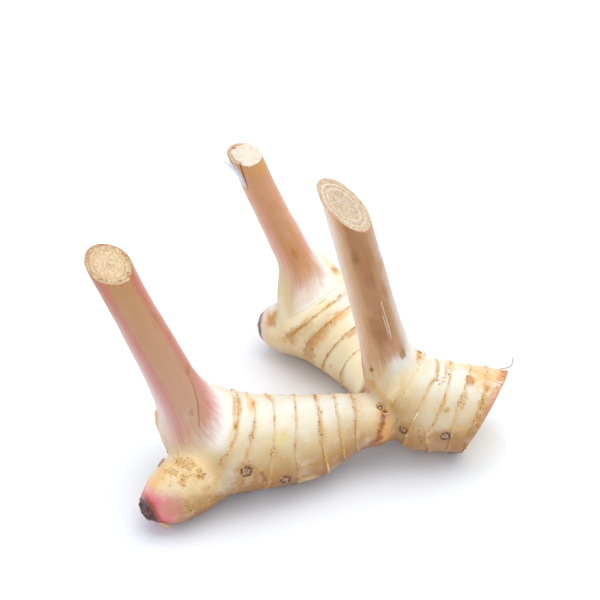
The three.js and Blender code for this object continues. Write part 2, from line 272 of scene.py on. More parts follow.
class Limb:
    """A limb's course and skin. Distances along it and radii are in millimetres, turns in radians."""

    def __init__(self, sections, rings=(), stem_from=None, margin=(), grooves=()):
        last = len(sections) - 1
        self.places = np.linspace(0, last, last * FINE + 1)
        self.centre = through([row[0] for row in sections], self.places, centripetal=True) - ORIGIN
        steps = np.linalg.norm(np.diff(self.centre, axis=0), axis=1)
        self.distances = np.concatenate([[0], np.cumsum(steps)])
        self.length = self.distances[-1]
        self.radius = np.maximum(through([row[1] for row in sections], self.places), 0)
        rise = np.radians(through([row[2] for row in sections], self.places))
        heading = np.radians(through([row[3] for row in sections], self.places))
        self.right = np.stack([np.sin(heading), np.cos(heading), 0 * heading], 1)
        level = np.cos(rise)
        self.ahead = np.stack([-np.cos(heading) * level, np.sin(heading) * level, np.sin(rise)], 1)
        self.up = np.cross(self.right, self.ahead)
        self.rings = [(self.distance_to(place), path, band, tone) for place, path, band, tone in rings]
        self.margin = margin
        self.grooves = grooves
        self.stem_from = self.distance_to(stem_from) if stem_from else None

    def distance_to(self, place):
        return float(np.interp(place, self.places, self.distances))

    def margin_at(self, distance):
        return np.radians(np.interp(distance, *zip(*self.margin)))

    def near(self, distance, turn, path):
        """How far points on the skin lie from a path of (distance, turn), in millimetres."""
        arc = np.radians(1) * np.interp(distance, self.distances, self.radius)
        here = np.stack([distance, np.degrees(turned(turn)) * arc], 1)
        stops = [np.stack([0 * arc + along, angle * arc], 1) for along, angle in path]
        return near_stops(here, stops)

    def along(self, rows, distance):
        return columns_at(distance, self.distances, rows)

    def outward(self, distance, turn):
        """The way out from the limb's course."""
        sine, cosine = np.sin(turn)[:, None], np.cos(turn)[:, None]
        return self.along(self.right, distance) * sine + self.along(self.up, distance) * cosine

    def shifted(self, distance, turn):
        """A distance moved along with the paths of the rings on either side of it."""
        if not self.rings:
            return distance
        reach = self.stem_from + PATHS_FADE
        stops = np.array([0] + [ring[0] for ring in self.rings] + [reach])
        paths = [0 * turn] + [round_the_limb(turn, ring[1]) for ring in self.rings] + [0 * turn]
        low = np.clip(np.searchsorted(stops, distance, side="right") - 1, 0, len(stops) - 2)
        share = np.clip((distance - stops[low]) / (stops[low + 1] - stops[low]), 0, 1)
        paths = np.array(paths)
        here = np.arange(len(distance))
        return distance + paths[low, here] * (1 - share) + paths[low + 1, here] * share

    def relief(self, distance):
        """How far rings and the bulge between them stand up from the skin."""
        height = np.zeros_like(distance)
        marks = [ring[0] for ring in self.rings]
        for mark, _, _, tone in self.rings:
            past = distance - mark
            climb = np.clip(1 + past / RING_RISE, 0, 1) ** 2
            drop = np.clip(1 - past / RING_FALL, 0, 1)
            ridge = RING_HEIGHT * min(1, RIDGE_FOR_TONE * tone)
            height = np.maximum(height, ridge * np.where(past < 0, climb, drop))
        for low, high in zip(marks, marks[1:]):
            share = np.clip((distance - low) / (high - low), 0, 1)
            height += BULGE * np.sin(math.pi * share)
        return height

    def sheath(self, distance, turn):
        """The outer leaf sheath's step and ribs, on the stem alone."""
        if self.stem_from is None:
            return 0 * distance
        grown = smooth(distance, self.stem_from, self.stem_from + MARGIN_FADE)
        past = ((turn - self.margin_at(distance)) % (2 * math.pi)) / (2 * math.pi)
        arc = MARGIN_ARC / (2 * math.pi)
        step = np.where(past < arc, 0.5 - smooth(past, 0, arc), (past - arc) / (1 - arc) - 0.5)
        ribs = lumps(rolled(turn, RIB_ROUND, distance / RIB_STRETCH), RIB_WIDTH)
        return grown * (MARGIN_STEP * step + RIB_HEIGHT * ribs)

    def skin(self, distance, turn, share=1.0):
        """Points on the skin, in the CAD frame but in millimetres. share is how far out they are."""
        place = self.shifted(distance, turn)
        radius = np.interp(place, self.distances, self.radius)
        oval = OVAL * np.sin(2 * turn + 2 * math.pi * place / OVAL_PITCH)
        triangle = TRIANGLE * np.sin(3 * turn - 2 * math.pi * place / TRIANGLE_PITCH)
        out = self.outward(place, turn)
        centre = self.along(self.centre, place)
        height = self.relief(distance) + self.sheath(distance, turn)
        plain = centre + out * radius[:, None]
        lumpy = sum(depth * lumps(plain, size, seed) for depth, size, seed in SKIN_LUMPS)
        height = height + smooth(radius, 0, TIP_FADE) * lumpy
        for depth, width, path in self.grooves:
            height = height - depth * np.exp(-((self.near(distance, turn, path) / width) ** 2))
        return centre + out * ((radius * (1 + oval + triangle) + height) * share)[:, None]


mother = Limb(MOTHER_SECTIONS, MOTHER_RINGS, 6.9, MOTHER_MARGIN)
front = Limb(FRONT_SECTIONS, FRONT_RINGS, 8.8, FRONT_MARGIN, FRONT_GROOVES)
back = Limb(BACK_SECTIONS, BACK_RINGS, 6.8, BACK_MARGIN, BACK_GROOVES)
front_knob = Limb(FRONT_KNOB_SECTIONS)
back_knob = Limb(BACK_KNOB_SECTIONS)
FRONT_BUD_FROM = front_knob.distance_to(2.7)
BACK_BUD_FROM = back_knob.distance_to(3.2)
LIMBS = [mother, front, back, front_knob, back_knob]


# Meshes

# Points of a mesh that are nearer than this, in metres, become one
WELD = 1e-6
# Edges turned by more than this stay sharp
SHARP = math.radians(44)
# A lathe's last ring stays this far from a limb's very tip, and its poles are joined within this
TIP_GAP = 0.01
POLE_WELD = 1e-4


def stations(limb, start, end, step):
    """Distances for a lathe: even, and close together across each ring."""
    marks = [ring[0] + stop for ring in limb.rings for stop in RING_STOPS if start < ring[0] + stop < end]
    marks = sorted([start, *marks, end])
    stops = [start]
    for low, high in zip(marks, marks[1:]):
        parts = max(1, round((high - low) / step))
        stops += [low + (high - low) * i / parts for i in range(1, parts + 1)]
    return stops


def spun_round(bm, row, sides):
    """Joins a row of points and turns it once round the Z axis."""
    edges = [bm.edges.new(pair) for pair in zip(row, row[1:])]
    bmesh.ops.spin(bm, geom=row + edges, axis=(0, 0, 1), angle=2 * math.pi, steps=sides, use_merge=True)


def lathe(limb, distances, sides, margin=False):
    """A closed tube turned round a straight axis, then bent so that it follows the limb."""
    bm = bmesh.new()
    row = [bm.verts.new((0, 0, distances[0]))]
    row += [bm.verts.new((1, 0, distance)) for distance in distances if distance < limb.length - TIP_GAP]
    row.append(bm.verts.new((0, 0, distances[-1])))
    spun_round(bm, row, sides)
    bmesh.ops.remove_doubles(bm, verts=bm.verts, dist=POLE_WELD)
    bmesh.ops.recalc_face_normals(bm, faces=bm.faces)
    mesh = mesh_from(bm, "lathe")
    co = points_of(mesh)
    share, turn, distance = np.hypot(co[:, 0], co[:, 1]), np.arctan2(co[:, 1], co[:, 0]), co[:, 2]
    if margin:
        past = (turn % (2 * math.pi)) / (2 * math.pi)
        spread = np.interp(past, [0, MARGIN_SIDES / sides, 1], [0, MARGIN_ARC / (2 * math.pi), 1])
        turn = limb.margin_at(distance) + 2 * math.pi * spread
    set_points(mesh, limb.skin(distance, turn, share) * MM)
    note(mesh, "sleeve", np.stack([turn, distance, share], 1))
    return mesh


def mesh_from(bm, name):
    mesh = bpy.data.meshes.new(name)
    bm.to_mesh(mesh)
    bm.free()
    return mesh


def read(items, key, width=3):
    """What a mesh's items have under a key, as rows of that many numbers."""
    values = np.zeros(len(items) * width, np.float32)
    items.foreach_get(key, values)
    return values.reshape(-1, width).astype(float)


def points_of(mesh, unit=1.0):
    return read(mesh.vertices, "co") / unit


def set_points(mesh, points):
    mesh.vertices.foreach_set("co", points.astype(np.float32).ravel())
    mesh.update()


def note(mesh, name, values):
    """Writes values as the mesh's own attribute: one number, a vector, or a colour to a point."""
    values = np.asarray(values, np.float32)
    if values.ndim == 1:
        layer, key = mesh.attributes.new(name, "FLOAT", "POINT"), "value"
    elif name == "tint":
        layer, key = mesh.attributes.new(name, "FLOAT_COLOR", "POINT"), "color"
        values = np.column_stack([values, np.ones(len(values), np.float32)])
    else:
        layer, key = mesh.attributes.new(name, "FLOAT_VECTOR", "POINT"), "vector"
    layer.data.foreach_set(key, values.ravel())


def noted(mesh, name):
    return read(mesh.attributes[name].data, "vector")


def noted_number(mesh, name):
    return read(mesh.attributes[name].data, "value", 1)[:, 0]


def linked(name, data):
    """A new object, in the scene."""
    made = bpy.data.objects.new(name, data)
    bpy.context.scene.collection.objects.link(made)
    return made


def show(mesh, name, *materials, slot, replaces=()):
    """Puts a finished mesh in the scene as a piece of the root."""
    mesh.name = name
    for material in materials:
        mesh.materials.append(material)
    mesh.shade_smooth()
    mesh.set_sharp_from_angle(angle=SHARP)
    piece = linked(name, mesh)
    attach(piece, "root")
    if replaces:
        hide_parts(*replaces)


def united(meshes):
    """One closed mesh from several that overlap."""
    parts = [linked("part", mesh) for mesh in meshes]
    for part in parts[1:]:
        union = parts[0].modifiers.new("union", "BOOLEAN")
        union.operation, union.solver, union.object = "UNION", "MANIFOLD", part
    bpy.context.view_layer.update()
    finished = parts[0].evaluated_get(bpy.context.evaluated_depsgraph_get())
    whole = bpy.data.meshes.new_from_object(finished)
    for part in parts:
        bpy.data.objects.remove(part)
    whole.materials.clear()
    return whole


# Materials

class Value:
    """A socket that takes part in sums: each operator adds its Math node."""

    def __init__(self, paint, socket):
        self.paint, self.socket = paint, socket

    def maths(self, operation, *values):
        return self.paint.node("ShaderNodeMath", {"operation": operation}, dict(enumerate(values)))

    def __add__(self, other):
        return self.maths("ADD", self, other)

    def __radd__(self, other):
        return self.maths("ADD", other, self)

    def __sub__(self, other):
        return self.maths("SUBTRACT", self, other)

    def __rsub__(self, other):
        return self.maths("SUBTRACT", other, self)

    def __mul__(self, other):
        return self.maths("MULTIPLY", self, other)

    def __rmul__(self, other):
        return self.maths("MULTIPLY", other, self)

    def first(self):
        """The first part of a colour or vector."""
        values = {0: self, 1: (1, 0, 0)}
        return self.paint.node("ShaderNodeVectorMath", {"operation": "DOT_PRODUCT"}, values, output="Value")

    def between(self, low, high):
        """The same as smooth(), for a socket."""
        values = {"Value": self, "From Min": low, "From Max": high}
        return self.paint.node("ShaderNodeMapRange", {"interpolation_type": "SMOOTHSTEP"}, values)


class Paint:
    """A material and the nodes in it."""

    def __init__(self, name):
        self.material = bpy.data.materials.new(name)
        self.material.use_nodes = True
        self.tree = self.material.node_tree
        self.tree.nodes.clear()
        self.position = self.node("ShaderNodeTexCoord", output="Object")

    def node(self, kind, settings=None, values=None, output=0):
        """Adds a node, with its settings first and then the numbers, colours or links of its sockets."""
        made = self.tree.nodes.new(kind)
        for key, value in (settings or {}).items():
            setattr(made, key, value)
        for key, value in (values or {}).items():
            if isinstance(value, Value):
                self.tree.links.new(value.socket, made.inputs[key])
            else:
                made.inputs[key].default_value = value
        return Value(self, made.outputs[output]) if made.outputs else None

    def attribute(self, name, output="Fac"):
        return self.node("ShaderNodeAttribute", {"attribute_name": name}, output=output)

    def mix(self, first, second, factor, mode="MIX"):
        """Two colours mixed. Sockets 6, 7 and 2 are the Mix node's own for colours."""
        values = {0: factor, 6: self.colour(first), 7: self.colour(second)}
        return self.node("ShaderNodeMix", {"data_type": "RGBA", "blend_type": mode}, values, output=2)

    def colour(self, value):
        return value if isinstance(value, Value) else (*linear(*value), 1)

    def grain(self, size, detail=3, where=None, stretch=(1, 1, 1)):
        """Noise about 0.5, with lumps of that size in millimetres."""
        values = {"Vector": self.scaled(size, where, stretch), "Scale": 1, "Detail": detail}
        return self.node("ShaderNodeTexNoise", {}, {**values, "Roughness": GRAIN_ROUGHNESS})

    def scaled(self, size, where=None, stretch=(1, 1, 1)):
        """Object position, or another vector in millimetres, in steps of that size."""
        step = size * (MM if where is None else 1)
        values = {0: where or self.position, 1: [share / step for share in stretch]}
        return self.node("ShaderNodeVectorMath", {"operation": "MULTIPLY"}, values)

    def cells(self, size, feature="F1", output=0):
        values = {"Vector": self.scaled(size), "Scale": 1}
        return self.node("ShaderNodeTexVoronoi", {"feature": feature}, values, output)

    def finish(self, colour, roughness, height=None, lift=0.1, **constants):
        """Ends in a Principled shader. height, in shares of lift millimetres, is its bump."""
        values = {"Base Color": self.colour(colour), "Roughness": roughness}
        if height is not None:
            bump = {"Height": height, "Strength": 1, "Distance": lift * MM}
            values["Normal"] = self.node("ShaderNodeBump", {}, bump)
        values.update({key.replace("_", " "): value for key, value in constants.items()})
        shader = self.node("ShaderNodeBsdfPrincipled", {}, values)
        self.node("ShaderNodeOutputMaterial", {}, {"Surface": shader})
        return self.material


# Colours that the materials lay over the mesh's own
MILK = (255, 250, 236)
DEEP_CREAM = (224, 196, 140)
VEIN_ROSE = (206, 160, 132)
VEIN_PALE = (252, 240, 226)
SCURF_TAN = (226, 178, 106)
FLAKE_AMBER = (204, 142, 62)
FLAKE_BROWN = (156, 94, 34)
PALE_FLAKE_AND_GLINT = (255, 240, 212)
RING_BROWN = (158, 100, 40)
WET_FLESH = (255, 250, 234)
DEEP_FLESH = (210, 170, 124)
PALE_CORK = (255, 240, 220)
DEEP_CORK = (120, 84, 60)
FLOOR_LIGHT = (250, 250, 251)
FLOOR_SHADE = (247, 247, 249)
# The size of a flake of bark, how light the palest open cells of a cut are, from 0 to 255, and how fast
# noise gets weaker as it gets finer
FLAKE = 0.62
CELL_LIGHT = 240
GRAIN_ROUGHNESS = 0.55


def skin_paint(name, shine=0.36):
    """Living skin. Its main colour, with its painted shade, comes with the mesh. Mottling, flakes of bark,
    some pale as painted glints, and veins are added.
    """
    paint = Paint(name)
    tint = paint.attribute("tint", "Color")
    scurf = paint.attribute("scurf")
    line = paint.attribute("line")
    veins = paint.attribute("veins")
    broad, fine = paint.grain(6, 3), paint.grain(1.1, 4)
    mottle = 1 - 0.7 * veins.between(0, 0.08)
    colour = paint.mix(tint, MILK, broad.between(0.52, 0.75) * 0.18 * mottle)
    colour = paint.mix(colour, DEEP_CREAM, (1 - broad.between(0.28, 0.5)) * 0.16 * mottle, "MULTIPLY")
    streak = paint.grain(0.7, 2, where=paint.attribute("fibre", "Vector"), stretch=(1, 1, 0.035))
    colour = paint.mix(colour, VEIN_ROSE, (1 - streak.between(0.3, 0.55)) * veins, "MULTIPLY")
    colour = paint.mix(colour, VEIN_PALE, streak.between(0.55, 0.8) * veins * 0.5)
    flake = paint.cells(FLAKE)
    kind = paint.cells(FLAKE, output="Color").first()
    worn = (scurf * (0.5 + paint.grain(1.6, 3))).between(0.38, 0.78)
    body = worn * (1 - flake.between(0.2, 0.48))
    colour = paint.mix(colour, SCURF_TAN, worn * 0.6)
    colour = paint.mix(colour, FLAKE_AMBER, body * kind.between(0.3, 0.45) * 0.85)
    colour = paint.mix(colour, FLAKE_BROWN, body * kind.between(0.8, 0.86) * 0.8)
    # Pale flakes: partly pale bark and partly painted glints on the crumbs.
    colour = paint.mix(colour, PALE_FLAKE_AND_GLINT, body * (1 - kind.between(0.14, 0.2)) * 0.8)
    edge = (line * (0.3 + 1.1 * paint.grain(2.2, 3))).between(0.34, 0.8)
    colour = paint.mix(colour, TAN, edge * 0.85, "MULTIPLY")
    colour = paint.mix(colour, RING_BROWN, edge * paint.grain(1.2, 2).between(0.5, 0.66) * 0.7)
    rough = shine + 0.3 * worn + 0.1 * fine
    height = fine * 0.3 + body * 1.1 + streak * veins * 0.6
    glow = {"Subsurface_Weight": 0.25, "Subsurface_Scale": 0.002, "Subsurface_Radius": (1, 0.45, 0.2)}
    return paint.finish(colour, rough, height, 0.16, **glow)


def flesh_paint(name, size, deep):
    """Cut flesh: wet and pale. Its colour comes with the mesh, which also says where cells lie open."""
    paint = Paint(name)
    fine = paint.grain(0.35, 3)
    colour = paint.mix(paint.attribute("tint", "Color"), WET_FLESH, fine.between(0.54, 0.74) * 0.3)
    colour = paint.mix(colour, DEEP_FLESH, (1 - fine.between(0.28, 0.46)) * 0.22, "MULTIPLY")
    height = fine * 0.5
    for mask, width in (("cells", size), ("pores", 0.62 * size)):
        hollow = paint.cells(width, "DISTANCE_TO_EDGE").between(0.03, 0.14) * paint.attribute(mask)
        tone = paint.cells(width, output="Color").first()
        inside = paint.mix(deep, [0.5 * (part + CELL_LIGHT) for part in deep], tone)
        colour = paint.mix(colour, inside, hollow * 0.9)
        height = height - hollow * 1.6
    glow = {"Subsurface_Weight": 0.2, "Subsurface_Scale": 0.002}
    return paint.finish(colour, 0.4 + 0.2 * fine, height, 0.14, **glow)


def cork_paint(name, rough=0.7):
    """Dry brown cork of root scars, crumbs of bark and papery shreds."""
    paint = Paint(name)
    tint = paint.attribute("tint", "Color")
    fine = paint.grain(0.5, 4)
    colour = paint.mix(tint, PALE_CORK, fine.between(0.56, 0.76) * 0.3)
    colour = paint.mix(colour, DEEP_CORK, (1 - fine.between(0.28, 0.46)) * 0.35, "MULTIPLY")
    return paint.finish(colour, rough, fine, 0.16)


def floor_paint():
    """A plain white studio floor."""
    paint = Paint("white_floor")
    shade = paint.mix(FLOOR_LIGHT, FLOOR_SHADE, paint.grain(400, 2))
    return paint.finish(shade, 0.9, Specular_IOR_Level=0.1)


# Colours of the living root

# CREAM to GOLD also serve as the skin's painted shade round each limb.
CREAM = (243, 236, 220)
IVORY = (236, 223, 196)
BUTTER = (252, 234, 192)
WHEAT = (242, 216, 166)
SAND = (222, 192, 144)
HONEY = (192, 144, 80)
BRONZE = (164, 110, 48)
GOLD = (146, 94, 38)
STRAW = (241, 206, 150)
APRICOT = (246, 196, 134)
TAN = (222, 172, 100)
AMBER = (218, 156, 82)
MOSS = (168, 124, 58)
RUST = (198, 122, 48)
HALO = (176, 124, 74)
BARK = (146, 90, 40)
SNOW = (250, 242, 234)
PUTTY = (228, 217, 200)
PEARL = (222, 222, 232)
BLUSH = (238, 205, 178)
ROSE = (231, 116, 126)
WINE = (196, 84, 88)
SALMON = (212, 142, 114)
DARK_TIP = (74, 40, 40)

# Colours of the stems
PALE_ROSE = (250, 228, 218)
SHELL = (242, 212, 190)
GREY_ROSE = (228, 210, 200)
DUSTY_PINK = (208, 142, 126)
ROSE_TAN = (198, 146, 114)
FAWN = (214, 167, 122)
OLIVE_TAN = (190, 140, 92)
FAWN_ROSE = (203, 155, 126)
PEACH_TAN = (210, 152, 106)
PINK_SKIN = (234, 176, 162)
OCHRE = (195, 139, 80)
CORAL = (198, 112, 88)
CHESTNUT = (174, 116, 62)

# Colours used at one place: the old end's rim, the buds' scales and tips, and the back stem's slit
OLD_RIM_LOW = (172, 122, 78)
OLD_RIM_HIGH = (200, 126, 76)
SCALE_FRINGE = (158, 66, 30)
DRIED_TIP = (118, 64, 62)
BACK_TIP = (118, 64, 68)
SLIT_GREY = (172, 158, 150)

# The skin's colour round a limb, as (turn away from the top, colour), pale on top and deep gold underneath.
# That darkening towards the underside is mostly painted shade of a top-lit root, with some real tan.
# The back limb is painted lighter where the right stem shades it.
SKIN_PAINTED_SHADE_ROUND = {
    mother: [(0, CREAM), (28, IVORY), (55, SAND), (85, HONEY), (130, BRONZE), (180, HONEY)],
    front: [(0, CREAM), (28, IVORY), (54, SAND), (82, HONEY), (108, BRONZE), (130, GOLD), (180, GOLD)],
    back: [(0, CREAM), (30, BUTTER), (70, BUTTER), (100, WHEAT), (120, SAND), (180, HONEY)],
    front_knob: [
        (0, WHEAT), (42, (236, 204, 150)), (70, (216, 180, 126)), (95, HONEY), (120, BRONZE), (180, GOLD),
    ],
    back_knob: [(0, CREAM), (75, WHEAT), (110, SAND), (180, HONEY)],
}

# Stains, as (distance, turn, half length, half width, colour, strength)
STAINS = {
    mother: [
        (22.2, 20, 3.8, 6.5, APRICOT, 1), (24.4, -7, 1.8, 2.6, RUST, 0.9), (14, 20, 3.4, 8, APRICOT, 1),
        (32.4, 20, 2.4, 5, STRAW, 1), (34.4, 4, 1, 5, TAN, 0.8), (47.2, 6, 2.8, 6.5, STRAW, 0.4),
        (54, 15, 4, 6, APRICOT, 0.9), (54, -35, 6, 11, WHEAT, 0.5), (27, -112, 9, 8, HALO, 0.75),
        (27.3, -89, 4.6, 4.4, HALO, 0.8), (41.4, -98, 2.8, 3.2, HALO, 0.8),
        (29.3, -49, 0.9, 0.9, RUST, 0.9), (24.6, -72, 3.2, 1.8, TAN, 0.6), (57, -75, 4, 5, WHEAT, 0.8),
        (35.6, -122, 1.6, 5, HALO, 0.8), (16, -4, 5, 6, APRICOT, 0.8), (26, 28, 3, 4, APRICOT, 0.8),
        (19, 0, 1.6, 5, RUST, 0.5), (18, -118, 7, 9, BRONZE, 0.5), (40.6, 8, 1.6, 8, TAN, 0.85),
        (39.5, -22, 1.2, 8, TAN, 0.5), (20.5, 6, 4, 8, APRICOT, 0.8),
    ],
    front: [
        (50.6, -42, 4.6, 3.4, (232, 208, 134), 0.75), (73, -6, 2, 13, TAN, 0.75),
        (70.8, -25, 2, 2.6, TAN, 0.7), (63.4, 8, 1.4, 2.6, AMBER, 0.95), (63.6, 10, 2.6, 5.5, STRAW, 0.8),
        (53.6, 26, 1.6, 4, TAN, 0.7), (54.3, -101, 1, 2.4, HALO, 0.8), (62, -77, 3.2, 4, HALO, 0.9),
        (48.3, -102, 2, 3.6, GOLD, 0.9), (11, -5, 8, 14, STRAW, 0.45), (44.4, -90, 2.2, 3.4, HALO, 0.6),
        (59, -100, 5, 4, BRONZE, 0.6), (40, -118, 3.6, 3.4, SAND, 0.8), (88, -103, 3.4, 2.6, TAN, 0.7),
        (26.4, 24, 1, 3, TAN, 0.6), (19.5, 8, 3, 8, TAN, 0.35),
    ],
    back: [
        (46.4, -20, 2.4, 4.8, APRICOT, 1), (45.8, -60, 3, 8, TAN, 0.8),
        (45.8, -98, 3, 6, (198, 140, 70), 0.9), (56, -21, 2.8, 3, STRAW, 0.95),
        (54.8, -62, 4.2, 6, TAN, 0.5), (55.4, -90, 4, 5.6, (206, 150, 80), 0.9),
        (64.7, -31, 1, 2.8, TAN, 0.9), (57.5, 0, 1, 1.6, TAN, 0.9), (36.8, -20, 0.9, 3.4, TAN, 0.9),
        (74, 30, 1.8, 2.6, AMBER, 0.9), (25, -95, 3, 6, SAND, 0.6),
    ],
    front_knob: [
        (26, 16, 2.4, 3, (246, 184, 112), 1), (31.6, 14, 2.4, 3.8, (246, 184, 112), 1),
        (28.6, 14, 4.2, 4.6, APRICOT, 0.8), (29, -62, 3.4, 5, SALMON, 0.75),
        (28.2, -88, 3.6, 4.4, HALO, 0.9), (15.5, -100, 1.8, 3.4, HALO, 0.8),
        (20.7, -112, 1, 3.4, HALO, 0.8), (20, -5, 7, 8, STRAW, 0.6), (18, -50, 7, 8, STRAW, 0.5),
        (24, -78, 6, 5, HONEY, 0.55), (22, -104, 9, 7, BRONZE, 0.7),
    ],
    back_knob: [(20.6, -35, 3.4, 4, (204, 140, 56), 0.95), (25.5, -60, 3, 5, BLUSH, 0.8)],
}

# Patches of loose bark, as (distance, turn, half length, half width, strength)
BARK_PATCHES = {
    mother: [
        (13.4, 26, 1.2, 3.4, 1), (54, 12, 2.6, 5, 0.8), (52.4, 34, 1.4, 2, 1), (25, -38, 1.8, 5, 0.7),
        (24.6, -8, 1.2, 2.4, 0.7), (29.3, -49, 1, 1, 1), (46, -65, 0.9, 3, 0.6), (36, -78, 1.2, 1.6, 0.8),
        (27.3, -86, 3, 3, 0.5), (41.4, -98, 2.4, 2.6, 0.5), (57, -94, 3, 2, 0.5),
        (18.5, -40, 1.4, 11, 0.9), (35, -20, 0.8, 9, 0.5),
    ],
    front: [
        (50.6, -67, 1.6, 0.9, 1), (53.8, -57, 1.4, 2, 0.9), (52.8, -70, 0.8, 0.8, 1),
        (33.4, -43, 1.1, 7, 0.65), (62.8, -36, 1.3, 3, 0.8), (81.3, -33, 1.8, 1.8, 0.7),
        (73.2, -66, 1, 3.4, 0.85), (43, -94, 1.8, 2.8, 0.6), (39, -88, 0.8, 0.8, 0.9),
        (71.5, -26, 1.8, 3, 0.9), (62, -76, 3.2, 4, 0.85), (48.3, -102, 2, 3.6, 0.6),
        (54, -101, 1.4, 3, 0.6), (63.4, 7, 1, 2.2, 0.7), (88.5, -104, 3, 2.4, 0.5),
        (68.6, 0, 0.8, 1.4, 0.7), (23.6, -55, 0.8, 1.4, 0.5), (49.6, -38, 0.7, 0.9, 0.9),
    ],
    back: [
        (57.4, 0, 0.9, 1.4, 0.8), (56, -64, 3, 4, 0.5), (46, -62, 1.8, 7, 0.55),
        (34.5, -88, 1.2, 1.6, 0.6), (46.8, -24, 1.2, 3, 0.4),
    ],
    front_knob: [
        (22.4, -25, 2.6, 2.8, 1), (16.5, -38, 2, 2.6, 0.95), (19.3, -67, 0.9, 2, 0.85),
        (14, -68, 0.8, 1, 0.9), (19, 4, 3, 3.8, 0.85), (24.4, 0, 2.6, 2.8, 0.85),
        (17.4, -12, 2.6, 3.4, 0.8), (20.5, -16, 7, 10, 0.5), (27.4, -92, 2.4, 3, 0.55),
        (20.6, -112, 0.9, 3, 0.5), (12.8, 20, 1.4, 3, 0.7), (27, -22, 1.6, 2, 0.5),
        (25.4, -80, 4.4, 5, 0.62), (20, -94, 4, 5, 0.6), (16, -78, 2.6, 3.6, 0.5),
    ],
    back_knob: [(20.6, -35, 1.6, 2, 0.4)],
}

# Drawn lines, as (colour, strength, half width, [(distance, turn)...])
LINES = {
    mother: [
        (BARK, 1, 0.5, [(45.6, -104), (45.7, -98), (46.6, -92)]),
        ((136, 78, 20), 1, 1, [(66.8, -113), (67, -110)]),
        ((164, 116, 46), 0.9, 2.1, [(65, -26), (67.6, -25.4)]),
        ((188, 134, 64), 0.85, 2, [(57, -158), (63, -154), (68, -150)]),
        (GREY_ROSE, 0.75, 0.32, [(77, -41), (84, -39), (93, -38)]),
        (GREY_ROSE, 0.6, 0.3, [(79, -46), (88, -45)]), (SNOW, 0.9, 0.26, [(13, -2), (19, -4)]),
        (SNOW, 0.9, 0.26, [(14, -6), (19, -8)]), (SNOW, 0.8, 0.26, [(15, -10), (19.6, -12)]),
        (BARK, 0.9, 0.3, [(18.2, 30), (20.4, 27)]), (RUST, 0.8, 0.5, [(24, -4), (23.4, -12)]),
        (BARK, 0.9, 0.35, [(35.4, -82), (33.8, -100), (32.6, -118), (33.4, -132)]),
        (TAN, 0.8, 0.5, [(54, -92), (57, -97), (59.4, -106)]),
    ],
    front: [
        (BARK, 0.7, 0.4, [(88, -60), (92, -50), (96, -37), (100, -26), (104, -19)]),
        (BARK, 1, 0.75, [(57, -80), (56, -88), (55.2, -94)]), (BARK, 1, 0.5, [(63.8, -91), (65, -96)]),
        (BARK, 0.8, 0.35, [(66.4, -100), (66, -112)]),
        (SALMON, 0.7, 0.5, [(78, -98), (84, -92), (89, -80)]),
    ],
    back: [
        (DARK_TIP, 0.75, 0.4, [(136, -84), (130, -91), (120, -106)]),
        (RUST, 0.8, 0.45, [(72.4, 40), (75.6, 22)]), (TAN, 0.7, 0.4, [(72, 33), (66, 60), (64, 90)]),
    ],
    front_knob: [(TAN, 0.7, 0.3, [(12.3, -58), (13.9, -74), (15.4, -92)])],
    back_knob: [],
}

# Lines drawn in space where the limbs fork, as (colour, strength, half width, [(x, y, z)...])
FORK_LINES = [
    ((224, 162, 82), 0.75, 4, [(31.6, -25.6, 28), (31, -27.6, 25), (30.6, -29, 20)]),
    (TAN, 0.7, 1, [(28.6, -19, 35.2), (31.5, -21.6, 34.6), (33.4, -23.5, 32.8), (33.1, -23.9, 30.1)]),
    ((160, 78, 6), 1, 1.4, [(31.6, -25, 29.4), (31, -26.2, 27), (30.5, -27.4, 25.4)]),
    ((168, 88, 12), 1, 1.2, [(30.5, -27.4, 25.4), (29.8, -28.9, 22.4), (29.5, -29.2, 20.1)]),
    ((160, 80, 8), 1, 1.7, [(29.5, -29.4, 19.6), (27.4, -29.4, 17.4)]),
    (TAN, 0.9, 2.6, [(24.4, -11.9, 34), (24, -10.6, 30.6)]),
    ((206, 150, 82), 0.75, 2.6, [(25.1, -14, 33.6), (27.2, -17.2, 36)]),
    (RUST, 0.8, 1.1, [(23.4, -9.6, 28), (25.6, -13.6, 30), (27, -15.6, 30.4)]),
]

# Where a stem's own colour starts over the pale skin, as (turn, distance), and over how many millimetres
STEM_EDGES = {
    front: (
        [
            (-150, 93), (-120, 89), (-80, 84), (-60, 82), (-40, 83), (-20, 85), (0, 89), (25, 97),
            (90, 98), (180, 96),
        ],
        8,
    ),
    mother: ([(-160, 68), (-90, 66), (-50, 69), (-20, 65), (0, 68), (20, 76), (60, 80), (180, 78)], 5),
    back: (
        [
            (-160, 92), (-120, 88), (-105, 84), (-85, 78), (-50, 75), (-15, 77), (5, 82), (20, 92),
            (60, 98), (180, 98),
        ],
        8,
    ),
}

